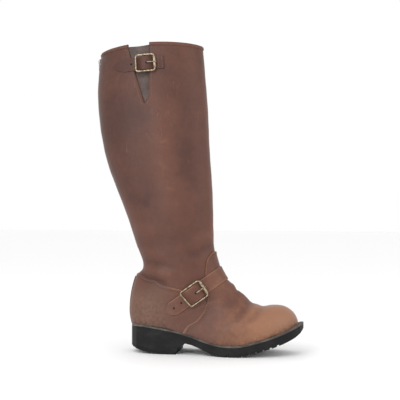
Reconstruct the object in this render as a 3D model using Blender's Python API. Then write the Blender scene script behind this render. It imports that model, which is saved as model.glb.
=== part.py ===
"""Tall pull-on leather boot with two buckled straps, right foot, at its real size.

Metres. +X points to the toe, +Z up, +Y to the inner side of the foot, so the buckled outer side
faces -Y. The origin lies on the floor under the middle of the heel's flat rest face.
Stations are measured from the back of the sole; levels are 0 at the heel seat, 1 at the crease
behind the ankle and 2 at the collar.
"""
from math import cos, pi, radians, sin

import bmesh
import bpy
import numpy as np
from mathutils import Vector
from mathutils.bvhtree import BVHTree

# Sole
SOLE_LENGTH = 0.270
HEEL_WIDTH = 0.068
BALL_WIDTH = 0.097
HEEL_SEAT = 0.044
BALL_THICKNESS = 0.0168
ARCH_RISE = 0.0172
TOE_SPRING = 0.040
HEEL_BEVEL = 0.0115
HEEL_LENGTH = 0.0755
MIDSOLE_THICKNESS = 0.0026
LIFT_THICKNESS = 0.0035
LUG_DEPTH = 0.0025
LUG_GAP = 0.0035
LUG_REACH = 0.016
LEDGE = 0.004
INSOLE_THICKNESS = 0.0028

# Upper
ANKLE_RISE = 0.092
SHAFT_RISE = 0.332
INSTEP_RISE = 0.083
CALF_WIDTH = 0.092
RIM_ARCH = 0.007
WALL = 0.0022
OVERLAY = 0.0013
BINDING_WIDTH = 0.0045
BINDING_THICKNESS = 0.0011
GUSSET_THICKNESS = 0.0012
GUSSET_LAP = 0.005
GUSSET_FOLD = 0.006
STAY_WIDTH = 0.014

# Zip
ZIP_OPENING = 0.007
ZIP_END = 1.08
TAPE_WIDTH = 0.020
TAPE_THICKNESS = 0.0008
CHAIN_WIDTH = 0.0052
SLIDER_LENGTH = 0.009
SLIDER_WIDTH = 0.0085
SLIDER_PLATE = 0.0010
PULL_LENGTH = 0.013
PULL_WIDTH = 0.0060
PULL_THICKNESS = 0.0011
PULL_PIN = 0.0006
PULL_SLOT = 0.0013
PULL_WINDOW = 0.0058
PULL_CORNER = 0.0015
SLIDER_SINK = 0.0008
BRIDGE_RISE = 0.0026
BRIDGE_WALL = 0.0008
BRIDGE_FOOT = 0.0030
BRIDGE_TOP = 0.0022

# Straps and buckles
STRAP_THICKNESS = 0.0020
TOP_STRAP_WIDTH = 0.0200
INSTEP_STRAP_WIDTH = 0.0225
WIRE = 0.00135
BAR = 0.0010
ROLLER = 0.0023
PRONG = 0.0010
HOLE = 0.0016
BAR_CLEARANCE = 0.0012
BAR_PLACE = -0.0010
HOLE_PLACE = 0.0025
HOLE_PITCH = 0.014
BUCKLE_SIDE = 0.0012
BUCKLE_CORNER = 0.0035
TOP_ANCHOR, TOP_TIP, TOP_POINT = 0.028, -0.054, 0.020
INSTEP_ANCHOR, INSTEP_TIP, INSTEP_POINT = 0.150, -0.052, 0.012
TOP_TILT, INSTEP_TILT = 4.4, 36.0
SINK = 0.0003
TOP_BUCKLE_LENGTH = 0.0280
INSTEP_BUCKLE_LENGTH = 0.0330

# Fits
FIT = 0.0003
OVERLAY_FIT = 0.0005
TUCK = 0.012
LIP = 0.0012

# Where the origin lies along the sole
HEEL_CENTRE = 0.063

ROWS = 42
COLUMNS = 32

# Rows of the section tables between which the overlays are drawn before they are trimmed
VAMP_START = 9.5
COUNTER_START = 11.5
COUNTER_END = 26

MATERIALS = {
    "rubber": ((0.018, 0.017, 0.018), 0.55, 0.0),
    "welt": ((0.075, 0.070, 0.068), 0.60, 0.0),
    "insole": ((0.32, 0.20, 0.12), 0.70, 0.0),
    "leather": ((0.115, 0.045, 0.026), 0.42, 0.0),
    "dark_leather": ((0.050, 0.026, 0.020), 0.50, 0.0),
    "brass": ((0.50, 0.38, 0.20), 0.30, 1.0),
    "steel": ((0.42, 0.42, 0.43), 0.32, 1.0),
    "textile": ((0.040, 0.024, 0.018), 0.85, 0.0),
}

# Plan of the sole: half widths as shares of the heel width and of the ball width
PLAN = np.array([
    # station  heel   outer   inner
    (0.000, 0.045, 0.000, 0.000),
    (0.006, 0.150, 0.000, 0.000),
    (0.020, 0.262, 0.000, 0.000),
    (0.045, 0.370, 0.000, 0.000),
    (0.085, 0.445, 0.000, 0.000),
    (0.140, 0.485, 0.000, 0.000),
    (0.210, 0.500, 0.000, 0.000),
    (0.290, 0.460, 0.030, 0.020),
    (0.370, 0.300, 0.155, 0.115),
    (0.450, 0.130, 0.325, 0.260),
    (0.530, 0.000, 0.475, 0.400),
    (0.600, 0.000, 0.505, 0.450),
    (0.670, 0.000, 0.505, 0.480),
    (0.740, 0.000, 0.485, 0.485),
    (0.810, 0.000, 0.440, 0.460),
    (0.870, 0.000, 0.390, 0.425),
    (0.920, 0.000, 0.320, 0.372),
    (0.960, 0.000, 0.228, 0.292),
    (0.985, 0.000, 0.138, 0.212),
    (0.996, 0.000, 0.060, 0.135),
    (1.000, 0.000, 0.005, 0.070),
])

# Side view of the sole: shares of the heel seat over the ball, of the toe spring, of the ball
# thickness, and of the bevel and arch under it
PROFILE_TOP = np.array([
    # station  seat   spring  thick
    (0.000, 0.985, 0.000, 1.00),
    (0.070, 1.000, 0.000, 1.00),
    (0.140, 0.930, 0.000, 1.00),
    (0.250, 0.755, 0.000, 1.00),
    (0.360, 0.485, 0.000, 1.00),
    (0.420, 0.300, 0.000, 1.00),
    (0.480, 0.130, 0.000, 1.00),
    (0.560, 0.010, 0.000, 1.00),
    (0.630, 0.000, 0.005, 1.00),
    (0.685, 0.000, 0.060, 1.00),
    (0.750, 0.000, 0.175, 1.00),
    (0.800, 0.000, 0.270, 1.00),
    (0.850, 0.000, 0.385, 1.00),
    (0.895, 0.000, 0.500, 1.00),
    (0.940, 0.000, 0.640, 0.98),
    (0.975, 0.000, 0.780, 0.93),
    (1.000, 0.000, 0.900, 0.78),
])
HEEL_UNDER = np.array([
    # share of heel length, share of the bevel
    (0.000, 1.00),
    (0.030, 0.90),
    (0.110, 0.69),
    (0.250, 0.43),
    (0.390, 0.22),
    (0.540, 0.09),
    (0.660, 0.00),
    (1.000, 0.00),
])
ARCH_UNDER = np.array([
    # station, share of the arch
    (0.2805, 0.00),
    (0.283, 0.20),
    (0.287, 0.38),
    (0.295, 0.55),
    (0.315, 0.81),
    (0.339, 1.00),
    (0.374, 0.89),
    (0.422, 0.62),
    (0.459, 0.37),
    (0.496, 0.17),
    (0.530, 0.04),
    (0.548, 0.00),
])
TOE_UNDER = np.array([
    # station, share of the toe spring
    (0.622, 0.000),
    (0.655, 0.022),
    (0.685, 0.060),
    (0.748, 0.170),
    (0.800, 0.270),
    (0.850, 0.380),
    (0.893, 0.495),
    (0.941, 0.645),
    (0.976, 0.790),
    (0.989, 0.880),
    (1.000, 1.000),
])

# Sections of the leg, from the collar to the heel seat: stations as shares of the sole length,
# widths as shares of half the calf width and of the sole's half width inside its ledge
LEG = np.array([
    # front  level   back   level  widest calf  sole  n_front n_back arch
    (0.417, 2.026, -0.183, 2.000, 0.50, 0.90, 0.00, 2.00, 2.15, 1.0),
    (0.428, 1.950, -0.194, 1.930, 0.50, 0.94, 0.00, 2.00, 2.15, 0.6),
    (0.440, 1.810, -0.201, 1.800, 0.50, 1.00, 0.00, 2.00, 2.15, 0.0),
    (0.450, 1.670, -0.191, 1.670, 0.50, 1.00, 0.00, 2.00, 2.15, 0.0),
    (0.457, 1.570, -0.169, 1.570, 0.50, 0.98, 0.00, 2.00, 2.15, 0.0),
    (0.464, 1.475, -0.139, 1.475, 0.50, 0.95, 0.00, 2.00, 2.15, 0.0),
    (0.470, 1.390, -0.103, 1.390, 0.50, 0.92, 0.00, 2.00, 2.15, 0.0),
    (0.475, 1.310, -0.065, 1.310, 0.50, 0.88, 0.00, 2.00, 2.15, 0.0),
    (0.479, 1.235, -0.028, 1.235, 0.50, 0.84, 0.00, 2.00, 2.15, 0.0),
    (0.481, 1.170, 0.004, 1.160, 0.50, 0.80, 0.00, 2.00, 2.15, 0.0),
    (0.483, 1.115, 0.026, 1.100, 0.50, 0.76, 0.00, 2.00, 2.15, 0.0),
    (0.487, 1.075, 0.046, 1.055, 0.50, 0.73, 0.02, 2.00, 2.15, 0.0),
    (0.493, 1.044, 0.064, 1.012, 0.49, 0.55, 0.28, 2.00, 2.15, 0.0),
    (0.504, 1.012, 0.064, 0.946, 0.48, 0.35, 0.60, 2.00, 2.15, 0.0),
    (0.515, 0.946, 0.040, 0.853, 0.47, 0.15, 0.90, 2.00, 2.20, 0.0),
    (0.530, 0.859, 0.024, 0.740, 0.46, 0.00, 1.12, 2.00, 2.25, 0.0),
    (0.544, 0.788, 0.012, 0.587, 0.45, 0.00, 1.11, 2.00, 2.35, 0.0),
    (0.561, 0.728, 0.003, 0.391, 0.42, 0.00, 1.10, 2.00, 2.50, 0.0),
    (0.578, 0.685, 0.001, 0.207, 0.39, 0.00, 1.08, 2.05, 2.70, 0.0),
    (0.594, 0.652, 0.010, 0.033, 0.36, 0.00, 1.06, 2.10, 3.00, 0.0),
])

# Sections of the foot, from the heel seat to the toe: the front end as a share of the instep's
# rise over the sole; the back end lies under the sole's top, which trims it
FOOT = np.array([
    # front  rise    back  widest  sole  n_front n_back drift
    (0.611, 0.960, 0.024, 0.34, 1.05, 2.10, 3.6, 0.000),
    (0.630, 0.930, 0.074, 0.33, 1.05, 2.10, 4.0, 0.000),
    (0.650, 0.875, 0.156, 0.33, 1.05, 2.10, 4.0, 0.000),
    (0.670, 0.800, 0.252, 0.33, 1.04, 2.10, 4.0, 0.000),
    (0.691, 0.725, 0.363, 0.33, 1.03, 2.10, 4.0, 0.001),
    (0.711, 0.660, 0.481, 0.33, 1.02, 2.15, 4.0, 0.002),
    (0.737, 0.600, 0.593, 0.33, 1.01, 2.20, 4.0, 0.003),
    (0.770, 0.555, 0.667, 0.32, 1.00, 2.25, 4.0, 0.004),
    (0.811, 0.525, 0.704, 0.30, 0.99, 2.30, 4.0, 0.005),
    (0.850, 0.480, 0.722, 0.26, 0.98, 2.35, 4.0, 0.006),
    (0.884, 0.420, 0.733, 0.22, 0.97, 2.35, 4.0, 0.006),
    (0.913, 0.330, 0.743, 0.18, 0.96, 2.30, 4.0, 0.007),
    (0.937, 0.225, 0.750, 0.15, 0.95, 2.25, 4.0, 0.008),
    (0.951, 0.120, 0.756, 0.12, 0.94, 2.20, 4.0, 0.009),
    (0.958, 0.030, 0.760, 0.10, 0.93, 2.15, 4.0, 0.009),
    (0.962, -0.080, 0.763, 0.10, 0.92, 2.10, 4.0, 0.009),
])

# Rear edge of the vamp and top edge of the counter in side view
VAMP_SEAM = np.array([
    # level, station
    (-0.30, 0.300), (0.00, 0.350), (0.09, 0.400), (0.23, 0.438), (0.44, 0.462), (0.62, 0.466),
    (0.86, 0.447), (1.00, 0.449), (1.02, 0.452), (1.05, 0.470), (1.07, 0.500), (1.08, 0.560),
])
COUNTER_TOP = np.array([
    # station, level
    (-0.060, 0.870), (0.055, 0.840), (0.110, 0.770), (0.155, 0.750), (0.190, 0.690),
    (0.225, 0.660), (0.290, 0.620), (0.380, 0.560), (0.480, 0.520),
])

# The V opened in the outer side of the shaft, in side view
GUSSET_FRONT = 0.134
GUSSET_TIP = 0.108
GUSSET_BACK = 0.008
GUSSET_TIP_LEVEL = 1.755
GUSSET_CORNER_LEVEL = 1.785


def curve(at, xs, ys):
    """Smooth curve through the points xs, ys that never overshoots them."""
    xs, ys = np.asarray(xs, float), np.asarray(ys, float)
    step = np.diff(xs)
    slope = np.diff(ys) / step
    tangent = np.zeros(len(xs))
    tangent[0], tangent[-1] = slope[0], slope[-1]
    before, after = slope[:-1], slope[1:]
    same = before * after > 0
    near, far = 2 * step[1:] + step[:-1], step[1:] + 2 * step[:-1]
    weight = near[same] / before[same] + far[same] / after[same]
    tangent[1:-1][same] = (near + far)[same] / weight
    at = np.clip(at, xs[0], xs[-1])
    k = np.clip(np.searchsorted(xs, at) - 1, 0, len(step) - 1)
    t = (at - xs[k]) / step[k]
    rise = ys[k] * (1 + 2 * t) * (1 - t) ** 2 + ys[k + 1] * t * t * (3 - 2 * t)
    bend = tangent[k] * t * (1 - t) ** 2 - tangent[k + 1] * t * t * (1 - t)
    return rise + step[k] * bend


def sole_half(station, side):
    """Half width of the sole at a station; side is -1 outer, +1 inner."""
    share = np.asarray(station) / SOLE_LENGTH
    heel = curve(share, PLAN[:, 0], PLAN[:, 1])
    ball = curve(share, PLAN[:, 0], PLAN[:, 2 if side < 0 else 3])
    return heel * HEEL_WIDTH + ball * BALL_WIDTH


def sole_top(station):
    """Height of the sole's top."""
    share = np.asarray(station) / SOLE_LENGTH
    seat, spring, thick = (curve(share, PROFILE_TOP[:, 0], PROFILE_TOP[:, k]) for k in (1, 2, 3))
    return seat * (HEEL_SEAT - BALL_THICKNESS) + spring * TOE_SPRING + thick * BALL_THICKNESS


def sole_under(station):
    """Height of the sole's underside: heel, breast, arch, tread and toe spring."""
    station = np.asarray(station, float)
    share = station / SOLE_LENGTH
    breast = HEEL_LENGTH / SOLE_LENGTH - ARCH_UNDER[0, 0]
    bevel = curve(station / HEEL_LENGTH, HEEL_UNDER[:, 0], HEEL_UNDER[:, 1])
    arch = curve(share - breast, ARCH_UNDER[:, 0], ARCH_UNDER[:, 1])
    toe = curve(share, TOE_UNDER[:, 0], TOE_UNDER[:, 1])
    return bevel * HEEL_BEVEL + arch * ARCH_RISE + toe * TOE_SPRING


def level_height(level):
    """Height of a level of the leg."""
    level = np.asarray(level, float)
    return HEEL_SEAT + np.minimum(level, 1) * ANKLE_RISE + np.maximum(level - 1, 0) * SHAFT_RISE


def section_table():
    """Every section in metres: front x z, back x z, widest, outer, inner, exponents, drift, arch."""
    rows = []
    for front, level, back, back_level, widest, calf, inside, n_front, n_back, arch in LEG:
        near, far = front * SOLE_LENGTH, back * SOLE_LENGTH
        middle = far + widest * (near - far)
        width = [calf * CALF_WIDTH / 2 + inside * (sole_half(middle, side) - LEDGE) for side in (-1, 1)]
        rows.append((near, level_height(level), far, level_height(back_level), widest, *width,
                     n_front, n_back, 0, arch * RIM_ARCH))
    for front, rise, back, widest, inside, n_front, n_back, drift in FOOT:
        near, far = front * SOLE_LENGTH, back * SOLE_LENGTH
        middle = far + widest * (near - far)
        width = [inside * (sole_half(middle, side) - LEDGE) for side in (-1, 1)]
        rows.append((near, sole_top(near) + rise * INSTEP_RISE, far, sole_top(far) - TUCK, widest,
                     *width, n_front, n_back, drift, 0))
    return np.array(rows, float)


SECTIONS = section_table()
LAST = len(SECTIONS) - 1


def section_at(u):
    """Sections between the table's rows, by a Catmull-Rom spline in the row number."""
    u = np.clip(u, 0, LAST)
    k = np.minimum(u.astype(int), LAST - 1)
    t = (u - k)[:, None]
    a, b, c, d = (SECTIONS[np.clip(k + j, 0, LAST)] for j in (-1, 0, 1, 2))
    return 0.5 * (2 * b + (c - a) * t + (2 * a - 5 * b + 4 * c - d) * t ** 2
                  + (3 * b - a - 3 * c + d) * t ** 3)


def skin_point(u, angle):
    """Points of the upper's outer face; u and angle are flat arrays of one length.

    Each section is a superellipse in the plane through its front and back ends and along Y.
    """
    row = section_at(u)
    front, back = row[:, 0:2], row[:, 2:4]
    widest, outer, inner, n_front, n_back, drift, arch = row[:, 4:].T
    c, s = np.cos(angle), np.sin(angle)
    power = np.where(c > 0, n_front, n_back)
    radius = (np.abs(c) ** power + np.abs(s) ** power) ** (-1 / power)
    along = widest + np.where(c > 0, 1 - widest, widest) * c * radius
    place = back + along[:, None] * (front - back)
    across = s * radius * np.where(s < 0, outer, inner) + drift * along
    return np.stack([place[:, 0], across, place[:, 1] + arch * s * s], axis=1)


def skin(u, angle, lift=0.0):
    """Grid of points on the upper's face, lifted along its outward normal."""
    uu, aa = (grid.ravel() for grid in np.meshgrid(u, angle, indexing="ij"))
    point = skin_point(uu, aa)
    if lift:
        du = skin_point(uu + 0.02, aa) - skin_point(uu - 0.02, aa)
        da = skin_point(uu, aa + 0.02) - skin_point(uu, aa - 0.02)
        normal = np.cross(du, da)
        normal /= np.linalg.norm(normal, axis=1)[:, None]
        point = point + lift * normal
    return point.reshape(len(u), len(angle), 3)


U_ROWS = np.linspace(0, LAST, ROWS)
ANGLES = np.linspace(0, 2 * pi, COLUMNS, endpoint=False)


def material(name):
    """The named material, made once."""
    found = bpy.data.materials.get(name)
    if found:
        return found
    colour, roughness, metallic = MATERIALS[name]
    made = bpy.data.materials.new(name)
    made.use_nodes = True
    shader = made.node_tree.nodes["Principled BSDF"]
    shader.inputs["Base Color"].default_value = (*colour, 1)
    shader.inputs["Roughness"].default_value = roughness
    shader.inputs["Metallic"].default_value = metallic
    return made


def add_object(name, vertices, faces, finish, origin=(0, 0, 0)):
    """A closed solid from points in stations, with its origin at the given point."""
    base = Vector(origin)
    mesh = bpy.data.meshes.new(name)
    mesh.from_pydata([tuple(Vector(v) - base) for v in vertices], [], faces)
    work = bmesh.new()
    work.from_mesh(mesh)
    bmesh.ops.recalc_face_normals(work, faces=work.faces)
    if work.calc_volume(signed=True) < 0:
        bmesh.ops.reverse_faces(work, faces=work.faces)
    work.to_mesh(mesh)
    work.free()
    made = bpy.data.objects.new(name, mesh)
    made.location = base - Vector((HEEL_CENTRE, 0, 0))
    bpy.context.collection.objects.link(made)
    if finish:
        mesh.materials.append(material(finish))
        mesh.shade_smooth()
        mesh.set_sharp_from_angle(angle=radians(35))
    else:
        made.hide_render = True
        made.display_type = "WIRE"
    return made


def trim(target, cutter, operation="DIFFERENCE"):
    """Cut a solid with a cutter."""
    cut = target.modifiers.new(cutter.name, "BOOLEAN")
    cut.operation = operation
    cut.object = cutter
    cut.solver = "EXACT"


def loft(sections, closed=False):
    """Vertices and faces of rings of equal length, capped at both ends unless closed."""
    rings, count = len(sections), len(sections[0])
    vertices = [tuple(map(float, p)) for ring in sections for p in ring]
    faces = []
    for i in range(rings if closed else rings - 1):
        for j in range(count):
            a, b = i * count + j, i * count + (j + 1) % count
            c, d = ((i + 1) % rings) * count + (j + 1) % count, ((i + 1) % rings) * count + j
            faces.append((a, b, c, d))
    if not closed:
        faces.append(tuple(range(count)))
        faces.append(tuple((rings - 1) * count + j for j in reversed(range(count))))
    return vertices, faces


def prism(name, outline, y_low=-0.2, y_high=0.2):
    """Cutter: a side-view outline of stations and heights, drawn out along Y."""
    rings = [[(x, y, z) for x, z in outline] for y in (y_low, y_high)]
    return add_object(name, *loft(rings), None)


def plate_rings(stations, inset, low, high, columns=(0.0, 0.12, 0.5, 0.88, 1.0)):
    """Rings of a plate that follows the sole's plan, inset from its edge."""
    edges = []
    for side in (-1, 1):
        y = side * sole_half(stations, side)
        along = np.stack([np.gradient(stations), np.gradient(y)], axis=1)
        along /= np.linalg.norm(along, axis=1)[:, None]
        inward = np.stack([along[:, 1], -along[:, 0]], axis=1) * side
        edges.append(np.stack([stations, y], axis=1) + inset * inward)
    rings = []
    for outer, inner in zip(*edges):
        flat = [outer + share * (inner - outer) for share in columns]
        rings.append([(x, y, float(low(x))) for x, y in flat]
                     + [(x, y, float(high(x))) for x, y in reversed(flat)])
    return rings


def sole_stations(start=0.0, end=1.0):
    """Stations of the sole's plan and side view, within the given shares."""
    breast = HEEL_LENGTH / SOLE_LENGTH - ARCH_UNDER[0, 0]
    shares = np.concatenate([PLAN[:, 0], ARCH_UNDER[:, 0] + breast, [0.11, 0.175, 0.25, 0.57, 0.635,
                             0.705, 0.775, 0.84, 0.895, 0.94]])
    shares = np.sort(shares[(shares > start + 0.001) & (shares < end - 0.001)])
    shares = np.concatenate([[start], shares, [end]])
    keep = np.concatenate([[True], np.diff(shares) > 0.0012])
    return shares[keep] * SOLE_LENGTH


def build_sole():
    """Outsole with its heel and lugs, the heel's lift and the midsole that forms the welt."""
    heel_end = HEEL_LENGTH / SOLE_LENGTH

    def body_under(x):
        in_heel = x <= HEEL_LENGTH + 1e-6
        return sole_under(x) + (LIFT_THICKNESS + FIT if in_heel else 0.0)

    def body_top(x):
        return sole_top(x) - MIDSOLE_THICKNESS - FIT

    stations = sole_stations()
    step = HEEL_LENGTH + 0.0004
    stations = np.sort(np.append(stations[np.abs(stations - step) > 0.0003], step))
    outsole = add_object("outsole", *loft(plate_rings(stations, 0.0, body_under, body_top)), "rubber")
    lift = sole_stations(0.0, heel_end)
    add_object("heel_lift", *loft(plate_rings(lift, 0.0, sole_under,
               lambda x: sole_under(x) + LIFT_THICKNESS)), "rubber")
    add_object("midsole", *loft(plate_rings(sole_stations(), 0.0,
               lambda x: sole_top(x) - MIDSOLE_THICKNESS, sole_top)), "welt")
    boxes, faces = [], []
    for share in (0.585, 0.665, 0.705, 0.745, 0.785, 0.825, 0.865):
        x = share * SOLE_LENGTH
        for side in (-1, 1):
            edge = side * float(sole_half(x, side))
            base = len(boxes)
            z = float(sole_under(x))
            rise = float(sole_under(x + LUG_GAP / 2) - sole_under(x - LUG_GAP / 2)) / LUG_GAP
            for dx in (-LUG_GAP / 2, LUG_GAP / 2):
                for y in (edge - side * LUG_REACH, edge + side * LEDGE):
                    boxes += [(x + dx, y, z + rise * dx - LUG_GAP), (x + dx, y, z + rise * dx + LUG_DEPTH)]
            faces += [tuple(base + k for k in quad) for quad in
                      ((0, 1, 3, 2), (4, 6, 7, 5), (0, 4, 5, 1), (2, 3, 7, 6), (0, 2, 6, 4), (1, 5, 7, 3))]
    trim(outsole, add_object("lug_cutter", boxes, faces, None))


def below_line(extra):
    """Side-view outline of all that lies under the sole's top plus a clearance."""
    xs = np.linspace(-0.02, SOLE_LENGTH + 0.02, 60)
    line = [(x, float(sole_top(x)) + extra) for x in xs]
    return line + [(xs[-1], -0.05), (xs[0], -0.05)]


def shell(lift_out, lift_in, rows=U_ROWS):
    """Vertices and faces of the tube between two lifts of the upper's face."""
    outer, inner = skin(rows, ANGLES, lift_out), skin(rows, ANGLES, lift_in)
    rings = [np.stack([outer[:, j], inner[:, j]], axis=0) for j in range(len(ANGLES))]
    loops = [list(pair[0]) + list(pair[1][::-1]) for pair in rings]
    return loft(loops, closed=True)


def rim_height(station):
    """Height of the collar's outer side at a station."""
    angle = np.linspace(pi, 2 * pi, 60)
    rim = skin([0.0], angle)[0]
    return float(np.interp(station, rim[:, 0], rim[:, 2]))


def gusset_outline(grow, top):
    """Side-view outline of the V, grown sideways and down by a margin."""
    front, tip, back = (share * SOLE_LENGTH for share in (GUSSET_FRONT, GUSSET_TIP, GUSSET_BACK))
    bottom, corner = level_height(GUSSET_TIP_LEVEL), level_height(GUSSET_CORNER_LEVEL)
    return [(back - grow, top), (tip - grow / 2, bottom - grow), (tip + grow, bottom - grow / 2),
            (front + grow, corner), (front + grow, top)]


def build_upper():
    """The hollow upper, open under the foot, with its V, its zip opening and its overlays."""
    upper = add_object("upper", *shell(0.0, -WALL), "leather")
    under = prism("under_cutter", below_line(FIT))
    trim(upper, under)
    top = level_height(2.0) + 4 * RIM_ARCH
    trim(upper, prism("gusset_cutter", gusset_outline(0.0, top), -0.2, 0.0))
    inside = 0.12 * SOLE_LENGTH
    slot = [(-SOLE_LENGTH / 2, level_height(ZIP_END)), (inside, level_height(ZIP_END)), (inside, top),
            (-SOLE_LENGTH / 2, top)]
    trim(upper, prism("zip_cutter", slot, -ZIP_OPENING / 2, ZIP_OPENING / 2))

    lifted = OVERLAY_FIT + OVERLAY
    seam = [(float(curve(level, *VAMP_SEAM.T)) * SOLE_LENGTH, float(level_height(level)))
            for level in VAMP_SEAM[:, 0]]
    front = (SOLE_LENGTH * 1.1, level_height(VAMP_SEAM[-1, 0]))
    floor = [(x, float(sole_top(x)) + FIT) for x in np.linspace(1.1, 0.30, 40) * SOLE_LENGTH]
    edge = [p for p in seam if p[1] > float(sole_top(p[0])) + FIT + 0.0005]
    vamp = add_object("vamp", *shell(lifted, OVERLAY_FIT, U_ROWS[U_ROWS > VAMP_START]), "leather")
    trim(vamp, prism("vamp_area", floor + edge + [front]), "INTERSECT")

    counter_top = [(x * SOLE_LENGTH, float(level_height(z))) for x, z in COUNTER_TOP]
    split = [(x - 2 * FIT, z) for x, z in edge if z < counter_top[-1][1]]
    meet = float(curve(COUNTER_TOP[-2, 1], *VAMP_SEAM.T)) * SOLE_LENGTH - 2 * FIT
    roof = [p for p in counter_top if p[0] < meet - 0.002]
    seat = [(x, float(sole_top(x)) + FIT) for x in np.linspace(-0.05, 0.30, 16) * SOLE_LENGTH]
    counter_rows = U_ROWS[(U_ROWS > COUNTER_START) & (U_ROWS < COUNTER_END)]
    counter = add_object("heel_counter", *shell(lifted, OVERLAY_FIT, counter_rows), "leather")
    trim(counter, prism("counter_area", seat + split + roof[::-1]), "INTERSECT")

    inner = skin(U_ROWS, ANGLES, -WALL - 2 * OVERLAY_FIT)
    block = add_object("insole", *loft(list(inner)), "insole")
    xs = np.linspace(-0.02, SOLE_LENGTH + 0.02, 40)
    low = [(x, float(sole_top(x)) + FIT) for x in xs]
    high = [(x, float(sole_top(x)) + FIT + INSOLE_THICKNESS) for x in reversed(xs)]
    trim(block, prism("insole_area", low + high), "INTERSECT")


def rim_points(degrees, drop, lift):
    """Points at a drop under the rim, on the flat facets between the upper's own corners."""
    grid = skin(U_ROWS[:2], ANGLES, lift)
    position = np.asarray(degrees) % 360 / 360 * COLUMNS
    left = position.astype(int) % COLUMNS
    share = (position - np.floor(position))[:, None]
    ring = grid[:, left] * (1 - share) + grid[:, (left + 1) % COLUMNS] * share
    down = (ring[1] - ring[0]) / np.linalg.norm(ring[1] - ring[0], axis=1)[:, None]
    return ring[0] + down * drop


def build_binding():
    """Folded strips over the collar, one each side of the V and of the zip."""
    rim = skin([0.0], np.linspace(0, 2 * pi, 361))[0]
    front, back = (share * SOLE_LENGTH for share in (GUSSET_FRONT, GUSSET_BACK))
    outer_side = np.arange(181, 360)
    front_angle = outer_side[np.argmin(np.abs(rim[outer_side, 0] - front))] + 1
    back_angle = outer_side[np.argmin(np.abs(rim[outer_side, 0] - back))] - 1
    zip_gap = np.degrees(ZIP_OPENING / CALF_WIDTH) * 1.3
    spans = {"collar_binding_front": (front_angle - 360, 180 - zip_gap),
             "collar_binding_back": (180 + zip_gap, back_angle)}
    step = 360 / COLUMNS
    cover, crown = np.array((0, 0, FIT + BINDING_THICKNESS)), np.array((0, 0, FIT))
    for name, (start, end) in spans.items():
        middle = [k * step for k in range(-COLUMNS, COLUMNS) if start + 1 < k * step < end - 1]
        degrees = np.array([start, *middle, end])
        out, face, behind, within = (
            (rim_points(degrees, BINDING_WIDTH, lift), rim_points(degrees, 0.0, lift))
            for lift in (FIT + BINDING_THICKNESS, FIT, -WALL - FIT, -WALL - FIT - BINDING_THICKNESS))
        rings = [[out[0][k], out[1][k] + cover, within[1][k] + cover, within[0][k],
                  behind[0][k], behind[1][k] + crown, face[1][k] + crown, face[0][k]]
                 for k in range(len(degrees))]
        add_object(name, *loft(rings), "leather")


def surface(lift, rows=U_ROWS):
    """Search tree of the upper's coarse face at a lift."""
    grid = skin(rows, ANGLES, lift)
    n, m = grid.shape[:2]
    faces = []
    for i in range(n - 1):
        for j in range(m):
            a, b = i * m + j, i * m + (j + 1) % m
            faces += [(a, b, b + m), (a, b + m, a + m)]
    return BVHTree.FromPolygons([tuple(p) for p in grid.reshape(-1, 3)], faces)


def build_gusset():
    """The folded panel that closes the V from inside."""
    face = surface(-WALL - FIT)
    bottom = level_height(GUSSET_TIP_LEVEL) - GUSSET_LAP
    front, tip, back = (share * SOLE_LENGTH for share in (GUSSET_FRONT, GUSSET_TIP, GUSSET_BACK))
    rings = []
    for k, share in enumerate(np.linspace(0, 1, 12)):
        left = tip - GUSSET_LAP / 2 + (back - tip - GUSSET_LAP / 2) * share
        right = tip + GUSSET_LAP + (front - tip) * min(1, share * 8)
        lower, upper = [], []
        for t in np.linspace(0, 1, 9):
            x = left + t * (right - left)
            z = bottom + share * (rim_height(x) - BINDING_WIDTH - LIP - bottom)
            hit = face.ray_cast(Vector((x, -0.3, z)), Vector((0, 1, 0)))[0]
            fold = GUSSET_FOLD * share * sin(pi * t) ** 2
            lower.append((x, hit.y + fold + 0.0001, z))
            upper.append((x, hit.y + fold + GUSSET_THICKNESS + 0.0001, z))
        rings.append(lower + upper[::-1])
    add_object("gusset", *loft(rings), "dark_leather")


def back_strip(name, width, lift, thickness, low, high, finish, count=24):
    """A strip down the middle of the back, lying on a lift of the upper's face."""
    face = surface(lift)
    rings = []
    for z in np.linspace(low, high, count):
        ys = np.linspace(-width / 2, width / 2, 3)
        hits = [face.ray_cast(Vector((-0.3, y, z)), Vector((1, 0, 0)))[0] for y in ys]
        out = 1 if thickness > 0 else -1
        near = [(h.x - out * 0.00005, h.y, z) for h in hits]
        far = [(h.x - thickness, h.y, z) for h in hits]
        rings.append(near + far[::-1])
    return add_object(name, *loft(rings), finish)


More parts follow.
